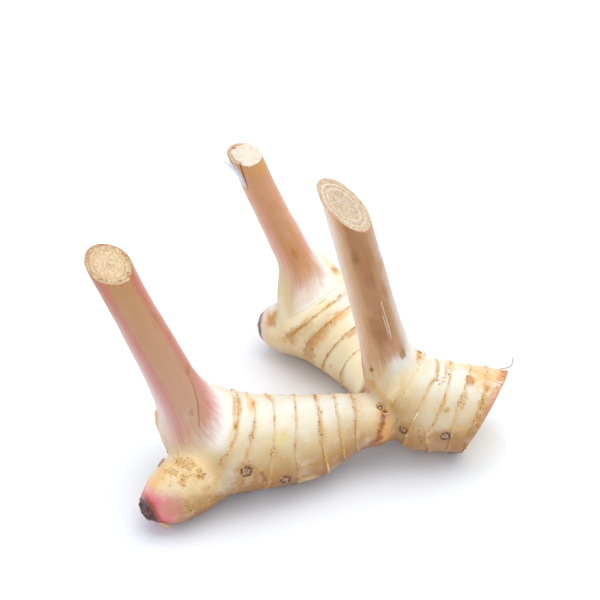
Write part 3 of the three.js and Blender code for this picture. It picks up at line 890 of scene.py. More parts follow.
# A stem's colours round it at its foot and at its cut, as (turn, colour)
# Its pale colours at the edges are partly the sheath's own pale margins and partly painted rim light.
STEM_TINTS_AND_PAINTED_RIM_LIGHT = {
    front: (
        [
            (-150, PALE_ROSE), (-126, (240, 208, 198)), (-110, (222, 168, 158)), (-93, DUSTY_PINK),
            (-80, FAWN_ROSE), (-30, FAWN_ROSE), (-18, ROSE_TAN), (0, DUSTY_PINK), (40, PINK_SKIN),
            (110, SHELL),
        ],
        [
            (-150, CHESTNUT), (-98, CORAL), (-84, OCHRE), (-29, OCHRE), (-22, CORAL), (-5, CORAL),
            (12, DUSTY_PINK), (110, CORAL),
        ],
    ),
    mother: (
        [
            (-145, SHELL), (-112, FAWN), (-82, OLIVE_TAN), (-55, ROSE_TAN), (-25, OLIVE_TAN),
            (5, GREY_ROSE), (110, SHELL),
        ],
        [
            (-140, PALE_ROSE), (-116, SHELL), (-97, FAWN), (-76, CHESTNUT), (-46, CHESTNUT),
            (-20, OLIVE_TAN), (10, ROSE_TAN), (110, FAWN),
        ],
    ),
    back: (
        [
            (-140, SHELL), (-104, PINK_SKIN), (-70, PEACH_TAN), (-15, PEACH_TAN), (8, PINK_SKIN),
            (30, PALE_ROSE), (110, SHELL),
        ],
        [
            (-140, PEACH_TAN), (-95, PEACH_TAN), (-50, PEACH_TAN), (5, PEACH_TAN), (30, ROSE_TAN),
            (110, FAWN),
        ],
    ),
}

# Marks on the stems, as (distance, turn, half length, half width, colour, strength)
STEM_MARKS = {
    front: [
        (107.5, -8, 1.6, 2, CHESTNUT, 0.8), (133, -14, 1.8, 1.8, CHESTNUT, 0.6),
        (123, -1, 1.4, 1.8, CORAL, 0.6), (93.6, -62, 1.6, 1, HALO, 0.8), (131.5, -31, 1, 0.6, HALO, 0.6),
    ],
    mother: [
        (105, -50, 4.4, 2, BARK, 0.5), (111, -52, 7, 3.6, CHESTNUT, 0.9), (115, -74, 3.4, 1.4, BARK, 0.8),
        (83, -60, 7, 5, CHESTNUT, 0.85), (66.6, -25, 3.6, 2.2, MOSS, 1),
        (97, -18, 4.6, 1.6, CHESTNUT, 0.5), (107, -8, 3, 1.6, OLIVE_TAN, 0.8),
        (80, -62, 3, 1.8, BARK, 0.3), (92, -45, 9, 4, CHESTNUT, 0.6), (64, -152, 3.4, 2.2, MOSS, 0.8),
    ],
    back: [
        (88.5, -49, 2, 1.8, RUST, 0.9), (88, -50, 6, 4, OCHRE, 0.35), (96, -66, 2, 1.6, OCHRE, 0.4),
        (124, 2, 3, 4.6, AMBER, 0.5), (126.4, -45, 1.8, 4.4, AMBER, 0.6),
        (77, -62, 3, 3.4, DUSTY_PINK, 0.4), (126, -118, 5, 1.4, PEARL, 0.85),
        (81, -30, 2.6, 1.2, OLIVE_TAN, 0.5),
    ],
}


def patch(limb, distance, turn, spot, warp):
    """How much of a patch (distance, turn, half length, half width) covers each point."""
    place, angle, length, width = spot
    arc = np.interp(distance, limb.distances, limb.radius)
    ahead = np.abs(distance - place) / length
    across = np.abs(turned(turn - math.radians(angle))) * arc / width
    return 1 - smooth((ahead**2.4 + across**2.4) ** (1 / 2.4) + 0.5 * warp, 0.35, 1.4)


def skin_tints(limb, distance, turn, points):
    """The skin's colour, and its shares of scurf, ring line and veins, at each point of one limb."""
    # Painted shade: the colour darkens with the turn away from the top.
    stops = [(angle, linear(*colour)) for angle, colour in SKIN_PAINTED_SHADE_ROUND[limb]]
    tint = round_the_limb(np.abs(turned(turn)), stops)
    warp = 0.8 * lumps(points, 2.2, 3) + 0.6 * lumps(points, 0.9, 7)
    tint = over(tint, CREAM, 0.25 * smooth(lumps(points, 11, 2), 0, 0.5))
    tint, scurf, line = rings_over_skin(limb, distance, turn, points, tint, warp)
    veins = np.zeros(len(points))
    for *spot, colour, strength in STAINS[limb]:
        tint = over(tint, colour, strength * patch(limb, distance, turn, spot, warp))
    for *spot, strength in BARK_PATCHES[limb]:
        scurf = np.maximum(scurf, strength * patch(limb, distance, turn, spot, 1.7 * warp))
    if limb is mother:
        tint, scurf = old_rim_over_skin(points, tint, scurf, warp)
    if limb.stem_from:
        tint, scurf, veins = stem_over_skin(limb, distance, turn, points, tint, scurf, warp)
    for colour, strength, width, path in LINES[limb]:
        gap = limb.near(distance, turn, path) + 0.12 * warp
        tint = over(tint, colour, strength * (1 - smooth(gap, 0.4 * width, width)))
    if limb is front_knob:
        tint, scurf = front_bud_over_skin(distance, turn, points, tint, scurf)
    if limb is back_knob:
        tint, scurf = back_bud_over_skin(distance, points, tint, scurf)
    return tint, scurf, line, veins


def rings_over_skin(limb, distance, turn, points, tint, warp):
    """Lays each ring's tan band, its dark line and the glow beside it, all broken up, over the skin."""
    scurf, line = np.zeros(len(points)), np.zeros(len(points))
    side = 0.55 + 0.45 * smooth(np.degrees(np.abs(turned(turn))), 20, 60)
    for mark, _, band, tone in limb.rings:
        past = distance - mark
        ragged = band * (0.5 + 0.9 * lumps(points, 6, 11)) + warp * 0.4
        cover = smooth(past, -ragged - 1, -ragged + 0.3) * (past < 0.15) * tone
        cover = np.clip(cover * (0.55 + 1.1 * lumps(points, 7, 17)), 0, 1)
        tint = over(tint, TAN, cover * 0.75)
        broken = np.clip(0.75 + 0.8 * lumps(points, 5, 43), 0.2, 1) * side
        fresh = smooth(np.abs(past + 0.1 * warp), 0.1, 0.45)
        line = np.maximum(line, tone * broken * (1 - fresh))
        glow = 1 - smooth(np.abs(past + 0.25 + 0.3 * warp), 0.15, 0.95)
        tint = over(tint, TAN, 0.6 * tone * broken * glow)
        close = (1 - smooth(np.abs(past + 0.5), 0.3, 1.4)) * smooth(lumps(points, 4, 29), -0.1, 0.3)
        scurf = np.maximum(scurf, np.maximum(0.5 * cover, 0.75 * tone * close))
    return tint, scurf, line


def old_rim_over_skin(points, tint, scurf, warp):
    """Lays a rusty, scurfy rim over the skin beside the old end's cut."""
    at, facing = plane_of(OLD_CUT)
    inside = (np.array(at) - points * MM) @ np.array(facing) / MM
    rim = 1 - smooth(inside + 0.8 * warp, 1.8, 3.8)
    rusty = over(linear(*OLD_RIM_LOW), OLD_RIM_HIGH, smooth(points[:, 2], 16, 28))
    rim = rim * (0.75 + 0.5 * lumps(points, 1.6, 61))
    return blend(tint, rusty, rim), np.maximum(scurf, 0.45 * rim)


def stem_over_skin(limb, distance, turn, points, tint, scurf, warp):
    """Lays the pale collar and the stem's own colour over the skin, with a streaky edge."""
    stops, fade = STEM_EDGES[limb]
    edge = round_the_limb(turn, stops)
    # Painted shade: the collar turns sand-coloured on its lower sides.
    below = smooth(np.degrees(np.abs(turned(turn))), 50, 86)
    collar = over(linear(*(PUTTY if limb is mother else SNOW)), SAND, below)
    tint = blend(tint, collar, 0.85 * smooth(distance, edge - 14, edge - 5))
    scurf = scurf * (1 - 0.8 * smooth(distance, edge - 12, edge - 6))
    arc = np.interp(distance, limb.distances, limb.radius)
    streaks = lumps(rolled(turn, arc, distance / 20), 1.1, 23)
    stem = smooth(distance + 1.9 * streaks + 1.6 * lumps(points, 6, 3), edge - fade, edge + fade)
    seen = turn
    if limb is front:
        drift = limb.margin_at(distance) - limb.margin_at(130)
        seen = turn - drift * smooth(np.degrees(turned(turn)), -95, -58)
    # The pale colours at the stem's edges are partly painted rim light.
    rows = [[(angle, linear(*colour)) for angle, colour in row] for row in STEM_TINTS_AND_PAINTED_RIM_LIGHT[limb]]
    foot, top = (round_the_limb(seen, row) for row in rows)
    own = blend(foot, top, np.clip((distance - limb.stem_from) / (limb.length - 14 - limb.stem_from), 0, 1))
    for *spot, colour, strength in STEM_MARKS[limb]:
        own = over(own, colour, strength * patch(limb, distance, turn, spot, 0.7 * warp + streaks))
    veins = 0.08 * stem + 0.22 * np.exp(-(((distance - edge - 1) / 8) ** 2))
    return blend(tint, own, stem), scurf * (1 - stem), veins


def front_bud_over_skin(distance, turn, points, tint, scurf):
    """Lays the pink scale leaves and the dark dead tip over the front knob."""
    near = front_knob.length - distance
    wobble = 1.2 * lumps(points, 4, 31) + 0.5 * lumps(points, 1.2, 37)
    gone = round_the_limb(turn, [(60, 9.4), (20, 8.6), (-30, 12), (-70, 14.6), (-110, 12), (180, 10)])
    tint = over(tint, ROSE, 0.95 * (1 - smooth((near + wobble) / gone, 0.42, 1)))
    low = np.exp(-(((np.degrees(turned(turn)) + 62) / 22) ** 2))
    base = smooth(near, 4.5, 7) * (1 - smooth(near + wobble, 9, 15))
    tint = over(tint, SALMON, 0.8 * low * base)
    tint = over(tint, WINE, 0.7 * (1 - smooth(near + 0.7 * wobble, 3.6, 6.4)))
    fringe = (1 - smooth(near + 0.4 * wobble, 3.9, 5.2)) * smooth(np.cos(turn + math.radians(52)), 0.2, 0.9)
    tint = over(tint, SCALE_FRINGE, fringe)
    dead = over(linear(*DARK_TIP), DRIED_TIP, smooth(lumps(points, 1.1, 13), -0.1, 0.5))
    tint = blend(tint, dead, 1 - smooth(near + 0.4 * wobble, 3.1, 3.6))
    return tint, scurf * smooth(near, 8, 13)


def back_bud_over_skin(distance, points, tint, scurf):
    """Lays the blushed scale leaves and the dark tip over the back knob."""
    near = back_knob.length - distance + 0.8 * lumps(points, 3, 31)
    tint = over(tint, BLUSH, 1 - smooth(near, 3, 8))
    tint = over(tint, BACK_TIP, 1 - smooth(near, 2, 3.6))
    return tint, scurf * smooth(near, 3, 7)


# How far apart two limbs' skins are where their colours stop mixing, and the radius that a stem's fibres
# are rolled round
MEETING = 3
STEM_ROUND = 8


def dress(mesh, gaps, sleeves):
    """Writes the skin's attributes, mixed where limbs meet. gaps and sleeves have a row for each limb."""
    points = points_of(mesh, MM)
    weights = np.clip(1 - (gaps - gaps.min(0)) / MEETING, 0, 1) ** 2
    weights = weights / weights.sum(0)
    totals = [np.zeros((len(points), 3)), *np.zeros((3, len(points)))]
    for limb, weight, sleeve in zip(LIMBS, weights, sleeves):
        own = weight > 0
        if own.any():
            parts = skin_tints(limb, sleeve[own, 1], sleeve[own, 0], points[own])
            for total, part in zip(totals, parts):
                total[own] += part * (weight[own, None] if part.ndim > 1 else weight[own])
    tint, *shares = totals
    for name, values in zip(("scurf", "line", "veins"), shares):
        note(mesh, name, values)
    sleeve = sleeves[weights.argmax(0), np.arange(len(points))]
    turn, distance = sleeve[:, 0], sleeve[:, 1]
    note(mesh, "fibre", rolled(turn, STEM_ROUND, distance))
    return tint


def alone(mesh, limb):
    """The gaps and sleeves that dress() takes, for a mesh that belongs to one limb."""
    gaps = np.full((len(LIMBS), len(mesh.vertices)), 10.0 * MEETING)
    gaps[LIMBS.index(limb)] = 0
    return gaps, np.broadcast_to(noted(mesh, "sleeve"), (len(LIMBS), len(mesh.vertices), 3))


# Places and cuts

def placed(x, y, z):
    """A point of the limbs' own frame, in the CAD frame and in metres."""
    return Vector((np.array([x, y, z]) - ORIGIN) * MM)


def plane_of(cut):
    at, facing = cut
    return placed(*at), Vector(facing).normalized()


def cut_off(bm, at, facing):
    """Takes away what is past a plane, and closes the opening with one face, which it returns."""
    everything = bm.verts[:] + bm.edges[:] + bm.faces[:]
    made = bmesh.ops.bisect_plane(bm, geom=everything, plane_co=at, plane_no=facing, clear_outer=True)
    rim = [item for item in made["geom_cut"] if isinstance(item, bmesh.types.BMEdge)]
    return bmesh.ops.edgeloop_fill(bm, edges=rim)["faces"]


def cut_rings(bm, face, layer, shares, centre):
    """Insets a cut face again and again towards a centre, and writes how far out each of its points is."""
    start = face.calc_center_median()
    outline = [vert.co.copy() for vert in face.verts]
    for vert in face.verts:
        vert[layer] = 1
    for share in shares:
        bmesh.ops.inset_individual(bm, faces=[face], thickness=0, use_even_offset=False)
        middle = start + centre * (1 - share)
        for vert, edge in zip(face.verts, outline):
            vert.co = middle + (edge - start) * share
            vert[layer] = share
    for vert in bmesh.ops.poke(bm, faces=[face])["verts"]:
        vert[layer] = 0


def cut_across(bm, cut, shares, centre=(0, 0, 0)):
    """Cuts a limb, rings the cut face, and writes how far out each point of it is, or UNCUT elsewhere."""
    layer = bm.verts.layers.float.new("share")
    for vert in bm.verts:
        vert[layer] = UNCUT
    for face in cut_off(bm, *plane_of(cut)):
        cut_rings(bm, face, layer, shares, Vector(centre) * MM)


def closest(meshes, points):
    """For each mesh and point: how far the point is from the mesh, and the turn and distance there."""
    gaps, sleeves = [], []
    for mesh in meshes:
        tree = KDTree(len(mesh.vertices))
        for i, point in enumerate(points_of(mesh, MM).tolist()):
            tree.insert(point, i)
        tree.balance()
        found = [tree.find(point)[1:] for point in points.tolist()]
        gaps.append([gap for _, gap in found])
        sleeves.append(noted(mesh, "sleeve")[[i for i, _ in found]])
    return np.array(gaps), np.array(sleeves)


# Points of a cut face have a share of 1 or less and all others have UNCUT. CUT_LIMIT lies between the two.
UNCUT = 2
CUT_LIMIT = 1.5
# The limbs' lathes: their sides, and the steps along the skin, along a stem and along a bud
SIDES = [168, 168, 168, 132, 132]
STEM_SIDES = 152
SKIN_STEP = 0.8
STEM_STEP = 1.1
BUD_STEP = 0.5
# How near two limbs' skins are where the crease between them is smoothed, and how often that is done
FILLET = 2.6
FILLET_ROUNDS = 26
# Rings inset into the cut faces, as shares of the outline, and the share past which a stem's cut stays flat
OLD_END_SHARES = np.linspace(0.99, 0.03, 34)
FLAT_RIM = 0.985
STEM_SHARES = np.linspace(FLAT_RIM, 0.03, 44)
# How open the cells on the old end's cut are
OLD_END_CELLS = 0.35


def rhizome():
    """The five limbs made one, cut where the old end was and flat where the root rests."""
    ends = [mother.stem_from, front.stem_from, back.stem_from, FRONT_BUD_FROM, BACK_BUD_FROM]
    lengths = [stations(limb, 0, end, SKIN_STEP) for limb, end in zip(LIMBS, ends)]
    parts = [lathe(*row) for row in zip(LIMBS, lengths, SIDES)]
    whole = united(parts)
    bm = bmesh.new()
    bm.from_mesh(whole)
    bmesh.ops.remove_doubles(bm, verts=bm.verts, dist=WELD)
    bm.to_mesh(whole)
    second = np.sort(closest(parts, points_of(whole, MM))[0], 0)[1]
    bm.verts.ensure_lookup_table()
    near = [bm.verts[int(i)] for i in np.nonzero(second < FILLET)[0]]
    for _ in range(FILLET_ROUNDS):
        bmesh.ops.smooth_vert(bm, verts=near, factor=0.5, use_axis_x=True, use_axis_y=True, use_axis_z=True)
    cut_across(bm, OLD_CUT, OLD_END_SHARES)
    cut_off(bm, Vector((0, 0, 0)), Vector((0, 0, -1)))
    bm.to_mesh(whole)
    bm.free()
    points = points_of(whole, MM)
    tint = fork_tints(points, dress(whole, *closest(parts, points)))
    shares = noted_number(whole, "share")
    cut = shares < CUT_LIMIT
    tint[cut] = old_end_tints(points[cut], shares[cut])
    note(whole, "tint", tint)
    note(whole, "cells", cut * OLD_END_CELLS)
    note(whole, "pores", np.zeros(len(points)))
    mark_faces(whole, cut)
    return whole


def fork_tints(points, tint):
    """Draws the creases at the fork, each stop moved to the nearest point of the skin."""
    rough = 0.35 * lumps(points, 1, 51)
    for colour, strength, width, path in FORK_LINES:
        stops = [points[np.linalg.norm(points + ORIGIN - stop, axis=1).argmin()][None, :] for stop in path]
        gap = near_stops(points, stops) + rough
        tint = over(tint, colour, strength * (1 - smooth(gap, 0.4 * width, width)))
    return tint


def mark_faces(mesh, cut):
    """Gives the faces whose corners are all on a cut the second material."""
    for face in mesh.polygons:
        face.material_index = 1 if all(cut[i] for i in face.vertices) else 0


# The cut faces

# A stem's painter takes points and how far out they are. It gives their colour and height, and how open the
# large cells and the small ones are.

def old_end_tints(points, share):
    flesh = over(linear(*WHEAT), STRAW, smooth(lumps(points, 1.4), -0.2, 0.5))
    flesh = over(flesh, TAN, 0.7 * band_at(share, 0.62, 0.025))
    return over(flesh, HALO, smooth(share, 0.93, 1))


def band_at(share, place, width):
    return np.exp(-(((share - place) / width) ** 2))


def fibres(points, facing, size):
    """Noise drawn out along rays from the middle of a cut."""
    gap = points - points.mean(0)
    across = np.cross(facing, (0, 1, 0))
    across /= np.linalg.norm(across)
    along = np.cross(facing, across)
    turn, reach = np.arctan2(gap @ along, gap @ across), np.linalg.norm(gap, axis=1)
    return lumps(rolled(turn, 7, reach / 6), size, 61)


def left_cut(points, share):
    """The left stem's cut: a thin rim, large cells, a sheath line, small cells and a fibrous core."""
    facing = np.array(plane_of(LEFT_CUT)[1])
    wobble = share + 0.02 * lumps(points, 1.6, 5)
    cells = smooth(wobble, 0.77, 0.8) * (1 - smooth(wobble, 0.94, 0.96))
    pores = smooth(wobble, 0.63, 0.66) * (1 - smooth(wobble, 0.7, 0.73))
    tint = over(linear(212, 178, 136), (232, 204, 164), smooth(lumps(points, 0.7, 8), -0.3, 0.4))
    tint = over(tint, (206, 166, 118), 0.35 * smooth(fibres(points, facing, 0.8), -0.1, 0.5))
    tint = over(tint, (236, 206, 160), smooth(wobble, 0.62, 0.66))
    tint = over(tint, TAN, 0.5 * band_at(wobble, 0.6, 0.02))
    tint = over(tint, (178, 114, 62), smooth(share, 0.94, 0.98))
    height = -0.2 * cells - 0.25 * (1 - smooth(share, 0.1, 0.6)) - 0.3 * band_at(wobble, 0.745, 0.015)
    return tint, height + 0.08 * fibres(points, facing, 0.6), cells, 0.75 * pores


def right_cut(points, share):
    """The right stem's cut: fine cells outside, two pale sheath lines and a mottled core."""
    wobble = share + 0.02 * lumps(points, 1.6, 5)
    cells = smooth(wobble, 0.8, 0.84) * (1 - smooth(wobble, 0.94, 0.97)) * 0.55
    pores = smooth(wobble, 0.62, 0.66) * (1 - smooth(wobble, 0.74, 0.78)) * 0.5
    tint = over(linear(224, 198, 164), (208, 174, 132), smooth(lumps(points, 1.1), -0.1, 0.45))
    tint = over(tint, (244, 226, 198), 0.8 * smooth(lumps(points, 0.5, 6), 0.05, 0.35))
    tint = over(tint, (206, 180, 168), 0.4 * smooth(lumps(points, 3, 2), 0.1, 0.5))
    for place, strength in ((0.8, 0.8), (0.6, 0.35)):
        tint = over(tint, (246, 232, 208), strength * band_at(wobble, place, 0.018))
    tint = over(tint, (204, 150, 100), smooth(share, 0.965, 0.99))
    height = -0.2 * band_at(wobble, 0.82, 0.02) - 0.3 * (1 - smooth(share, 0.1, 0.7))
    pores = np.maximum(pores, 0.35 * (1 - smooth(wobble, 0.56, 0.6)))
    return tint, height + 0.08 * lumps(points, 0.8), cells, pores


# A brown spot on the back stem's rim
BACK_CUT_SPOT = (-26, 63.6, 87.6)


def back_cut(points, share):
    """The back stem's cut: a smooth white core, and a tan outer sheath that is thick on the left alone."""
    gap = points - points.mean(0)
    left = smooth(-gap[:, 0], -1.5, 2.5)
    edge = 0.99 - 0.2 * left
    tint = over(linear(230, 215, 194), (222, 204, 180), smooth(lumps(points, 1.5), -0.1, 0.5))
    outer = smooth(share, edge, edge + 0.03) * left
    tint = over(tint, FAWN, 0.85 * outer)
    slit = band_at(share, edge, 0.018) * left
    tint = over(tint, SLIT_GREY, 0.7 * slit)
    spot = np.linalg.norm(points + ORIGIN - np.array(BACK_CUT_SPOT), axis=1)
    tint = over(tint, CHESTNUT, 0.8 * (1 - smooth(spot, 0.5, 1.4)))
    return tint, -0.45 * slit + 0.05 * lumps(points, 0.9), 0.6 * outer, 0 * share


def stem(limb, cut, painter, centre):
    """A stem, cut at its top. centre is how far the cut's rings close in off its middle, in millimetres."""
    mesh = lathe(limb, stations(limb, limb.stem_from, limb.length, STEM_STEP), STEM_SIDES, margin=True)
    bm = bmesh.new()
    bm.from_mesh(mesh)
    cut_across(bm, cut, STEM_SHARES, centre)
    bm.to_mesh(mesh)
    bm.free()
    shares = noted_number(mesh, "share")
    on_cut = shares < CUT_LIMIT
    points = points_of(mesh, MM)
    tint = dress(mesh, *alone(mesh, limb))
    tint[on_cut], height, cells, pores = painter(points[on_cut], shares[on_cut])
    height = np.where(shares[on_cut] > FLAT_RIM, 0, height)
    points[on_cut] += np.array(plane_of(cut)[1]) * height[:, None]
    set_points(mesh, points * MM)
    note(mesh, "tint", tint)
    for name, values in (("cells", cells), ("pores", pores)):
        whole = np.zeros(len(points))
        whole[on_cut] = values
        note(mesh, name, whole)
    mark_faces(mesh, on_cut)
    return mesh


def bud(knob, start, sides, dead=0.0):
    """The cone of scale leaves at a knob's end. dead is the length of its shrunken brown tip."""
    mesh = lathe(knob, stations(knob, start, knob.length, BUD_STEP), sides)
    note(mesh, "tint", dress(mesh, *alone(mesh, knob)))
    if dead:
        points = points_of(mesh, MM)
        near = knob.length - noted(mesh, "sleeve")[:, 1] + 0.4 * lumps(points, 2, 37)
        shrunk = 1 - smooth(near, dead - 0.5, dead)
        lift = shrunk * (0.7 * lumps(points, 1.3, 13) + 0.25 * lumps(points, 0.6, 19) - 0.35)
        set_points(mesh, (points + read(mesh.vertices, "normal") * lift[:, None]) * MM)
    return mesh


# Scars of the root's own roots, crumbs of bark and papery shreds

# A scar's profile, as (reach, height) in shares of its radius, and its colours, as (reach, colour)
SCAR_PROFILE = [
    (0, -0.5), (1.04, -0.5), (1, 0.01), (0.92, 0.12), (0.82, 0.21), (0.74, 0.22), (0.66, 0.16),
    (0.56, 0.05), (0.44, 0.01), (0.32, 0.04), (0.22, 0.11), (0.12, 0.13), (0, 0.11),
]
SCAR_STOPS = [
    (0, (140, 96, 84)), (0.2, (168, 124, 108)), (0.36, (204, 172, 152)), (0.54, (172, 122, 98)),
    (0.68, (88, 44, 22)), (0.84, (104, 58, 28)), (0.94, (150, 98, 54)), (1.05, HALO),
]
FORK_PROFILE = [
    (0, -0.5), (1.05, -0.5), (1, 0.02), (0.9, 0.05), (0.75, 0.1), (0.6, 0.1), (0.45, 0.04), (0.3, -0.12),
    (0.12, -0.22), (0, -0.24),
]
FORK_STOPS = [
    (0, (104, 56, 22)), (0.4, (120, 68, 28)), (0.55, (172, 116, 60)), (0.7, (206, 154, 92)),
    (0.85, (200, 148, 84)), (1.05, (196, 144, 80)),
]
# Where old roots came off, as (limb, distance, turn, radius)
ROOT_SCARS = [
    (mother, 41.4, -98, 1.9), (mother, 27.3, -86, 2.2), (mother, 24, -142, 1.8), (mother, 36, 146, 1.7),
    (mother, 29, 108, 1.5), (front, 62, -76, 2.4), (front, 48.3, -101, 2.2), (front, 59, -136, 1.8),
    (front, 38, 138, 1.6), (front, 49, 104, 1.6), (front, 75, 128, 1.8), (back, 43, -138, 1.7),
    (back, 51, 124, 1.8), (back, 34, 100, 1.5),
]
# The hollow scar at the fork, as (place, way out, radius), and the one under the left stem's heel
FORK_SCAR = ((30, -23.2, 30), (-0.25, -0.75, 0.6), 1.7)
HEEL_SCAR = (front, 82, -168, 3.4)


def tree_of(mesh):
    """A finished mesh's surface, for finding its nearest points."""
    bm = bmesh.new()
    bm.from_mesh(mesh)
    tree = BVHTree.FromBMesh(bm)
    bm.free()
    return tree


def on_skin(tree, limb, distance, turn, lift=0.0):
    """A point on the finished skin, in metres, and the way out from it."""
    distance, turn = np.array([float(distance)]), np.radians([float(turn)])
    out = limb.outward(distance, turn)[0]
    at, normal = tree.find_nearest(Vector(limb.skin(distance, turn)[0] * MM))[:2]
    out = (Vector(out) + normal).normalized()
    return at + out * lift * MM, out


SCAR_SIDES = 36
# How ragged a scar's rim is, as (share of its radius, lumps in a radius)
SCAR_RAGGED = [(0.12, 2.2), (0.06, 6)]


def scars(name, rows, profile, stops):
    """Round scars turned on a lathe, then laid on the skin. A row is (place, way out, radius)."""
    bm = bmesh.new()
    layer = bm.verts.layers.float.new("share")
    curve = through(profile, np.linspace(0, len(profile) - 1, 2 * len(profile) - 1))
    for at, out, size in rows:
        before = set(bm.verts)
        row = [bm.verts.new((max(reach, 0), 0, height)) for reach, height in curve.tolist()]
        spun_round(bm, row, SCAR_SIDES)
        made = [vert for vert in bm.verts if vert not in before]
        for vert in made:
            vert[layer] = math.hypot(vert.co.x, vert.co.y)
            ragged = sum(depth * noise.noise(vert.co * often + at * 1000) for depth, often in SCAR_RAGGED)
            vert.co += vert.co.normalized() * ragged
        bmesh.ops.scale(bm, vec=(size * MM,) * 3, verts=made)
        bmesh.ops.rotate(bm, verts=made, matrix=Vector((0, 0, 1)).rotation_difference(out).to_matrix())
        bmesh.ops.translate(bm, verts=made, vec=at)
    bmesh.ops.remove_doubles(bm, verts=bm.verts, dist=WELD)
    bmesh.ops.recalc_face_normals(bm, faces=bm.faces)
    mesh = mesh_from(bm, name)
    points = points_of(mesh, MM)
    share = noted_number(mesh, "share") + 0.05 * lumps(points, 0.5)
    tint = columns_at(share, [reach for reach, _ in stops], [linear(*colour) for _, colour in stops])
    note(mesh, "tint", over(tint, CREAM, 0.6 * smooth(lumps(points, 0.45, 9), 0.35, 0.5)))
    return mesh


# Crumbs: how many, how far they stray, their least and greatest radius, how high over the floor they start,
# and their colours with each one's share
CRUMBS = 3000
CRUMBS_SEED = 7
CRUMBS_STRAY = 0.35
CRUMBS_RADII = (0.07, 0.34)
CRUMBS_FROM = 0.5
# The palest crumbs are partly pale bark and partly painted glints.
CRUMB_COLOURS = [(AMBER, 0.44), ((182, 118, 46), 0.3), (BARK, 0.08), ((250, 236, 206), 0.18)]


def crumbs(root, tree):
    """Loose crumbs of bark, thickest where the skin is scurfy and along its rings."""
    random = np.random.default_rng(CRUMBS_SEED)
    weight = noted_number(root, "scurf") ** 2 + 0.25 * noted_number(root, "line")
    weight *= (noted_number(root, "share") > CUT_LIMIT) * (points_of(root, MM)[:, 2] > CRUMBS_FROM)
    chosen = random.choice(len(weight), CRUMBS, p=weight / weight.sum())
    places = points_of(root)[chosen] + random.normal(0, CRUMBS_STRAY * MM, (CRUMBS, 3))
    sizes = MM * np.clip(random.lognormal(-2.05, 0.4, CRUMBS), *CRUMBS_RADII)
    turns = random.uniform(0, 2 * math.pi, (CRUMBS, 3))
    stretches = random.uniform(0.55, 1.5, (CRUMBS, 3))
    bm = bmesh.new()
    bmesh.ops.create_icosphere(bm, subdivisions=1, radius=1)
    ball = bpy.data.meshes.new("ball")
    bm.to_mesh(ball)
    bm.clear()
    for place, size, turn, stretch in zip(places, sizes, turns, stretches):
        at, normal = tree.find_nearest(Vector(place))[:2]
        matrix = Matrix.LocRotScale(at + normal * 0.25 * size, Euler(turn), Vector(stretch) * size)
        ball.transform(matrix)
        bm.from_mesh(ball)
        ball.transform(matrix.inverted())
    mesh = mesh_from(bm, "crumbs")
    kinds = random.choice(len(CRUMB_COLOURS), CRUMBS, p=[share for _, share in CRUMB_COLOURS])
    colours = np.array([linear(*colour) for colour, _ in CRUMB_COLOURS])[kinds]
    note(mesh, "tint", np.repeat(colours, len(ball.vertices), 0))
    return mesh


def shred(bm, layer, path, facing, width, colour, thick=0.14, taper=0.35):
    """A papery strip along a path of points in metres, broad side towards facing, with its colour."""
    first, first_face = len(bm.verts), len(bm.faces)
    parts = max(6, 3 * len(path))
    bmesh.ops.create_grid(bm, x_segments=parts, y_segments=3, size=0.5)
    bm.verts.ensure_lookup_table()
    made = bm.verts[first:]
    stops = np.array([tuple(stop) for stop in path])
    for vert in made:
        along, across = vert.co.x + 0.5, 2 * vert.co.y
        here = np.array([along * (len(stops) - 1)])
        at = Vector(through(stops, here)[0])
        ahead = Vector((through(stops, here + 0.02) - through(stops, here - 0.02))[0])
        side = ahead.cross(Vector(facing)).normalized()
        ragged = 1 + 0.35 * noise.noise(at * 900 + Vector((across, 0, 0)))
        reach = 0.5 * width * MM * ragged * (1 - taper * abs(2 * along - 1) ** 2)
        vert.co = at + side * across * reach
    bm.faces.ensure_lookup_table()
    faces = bm.faces[first_face:]
    bmesh.ops.recalc_face_normals(bm, faces=faces)
    bmesh.ops.solidify(bm, geom=faces, thickness=thick * MM)
    bm.verts.ensure_lookup_table()
    for vert in bm.verts[first:]:
        vert[layer] = (*linear(*colour), 1)


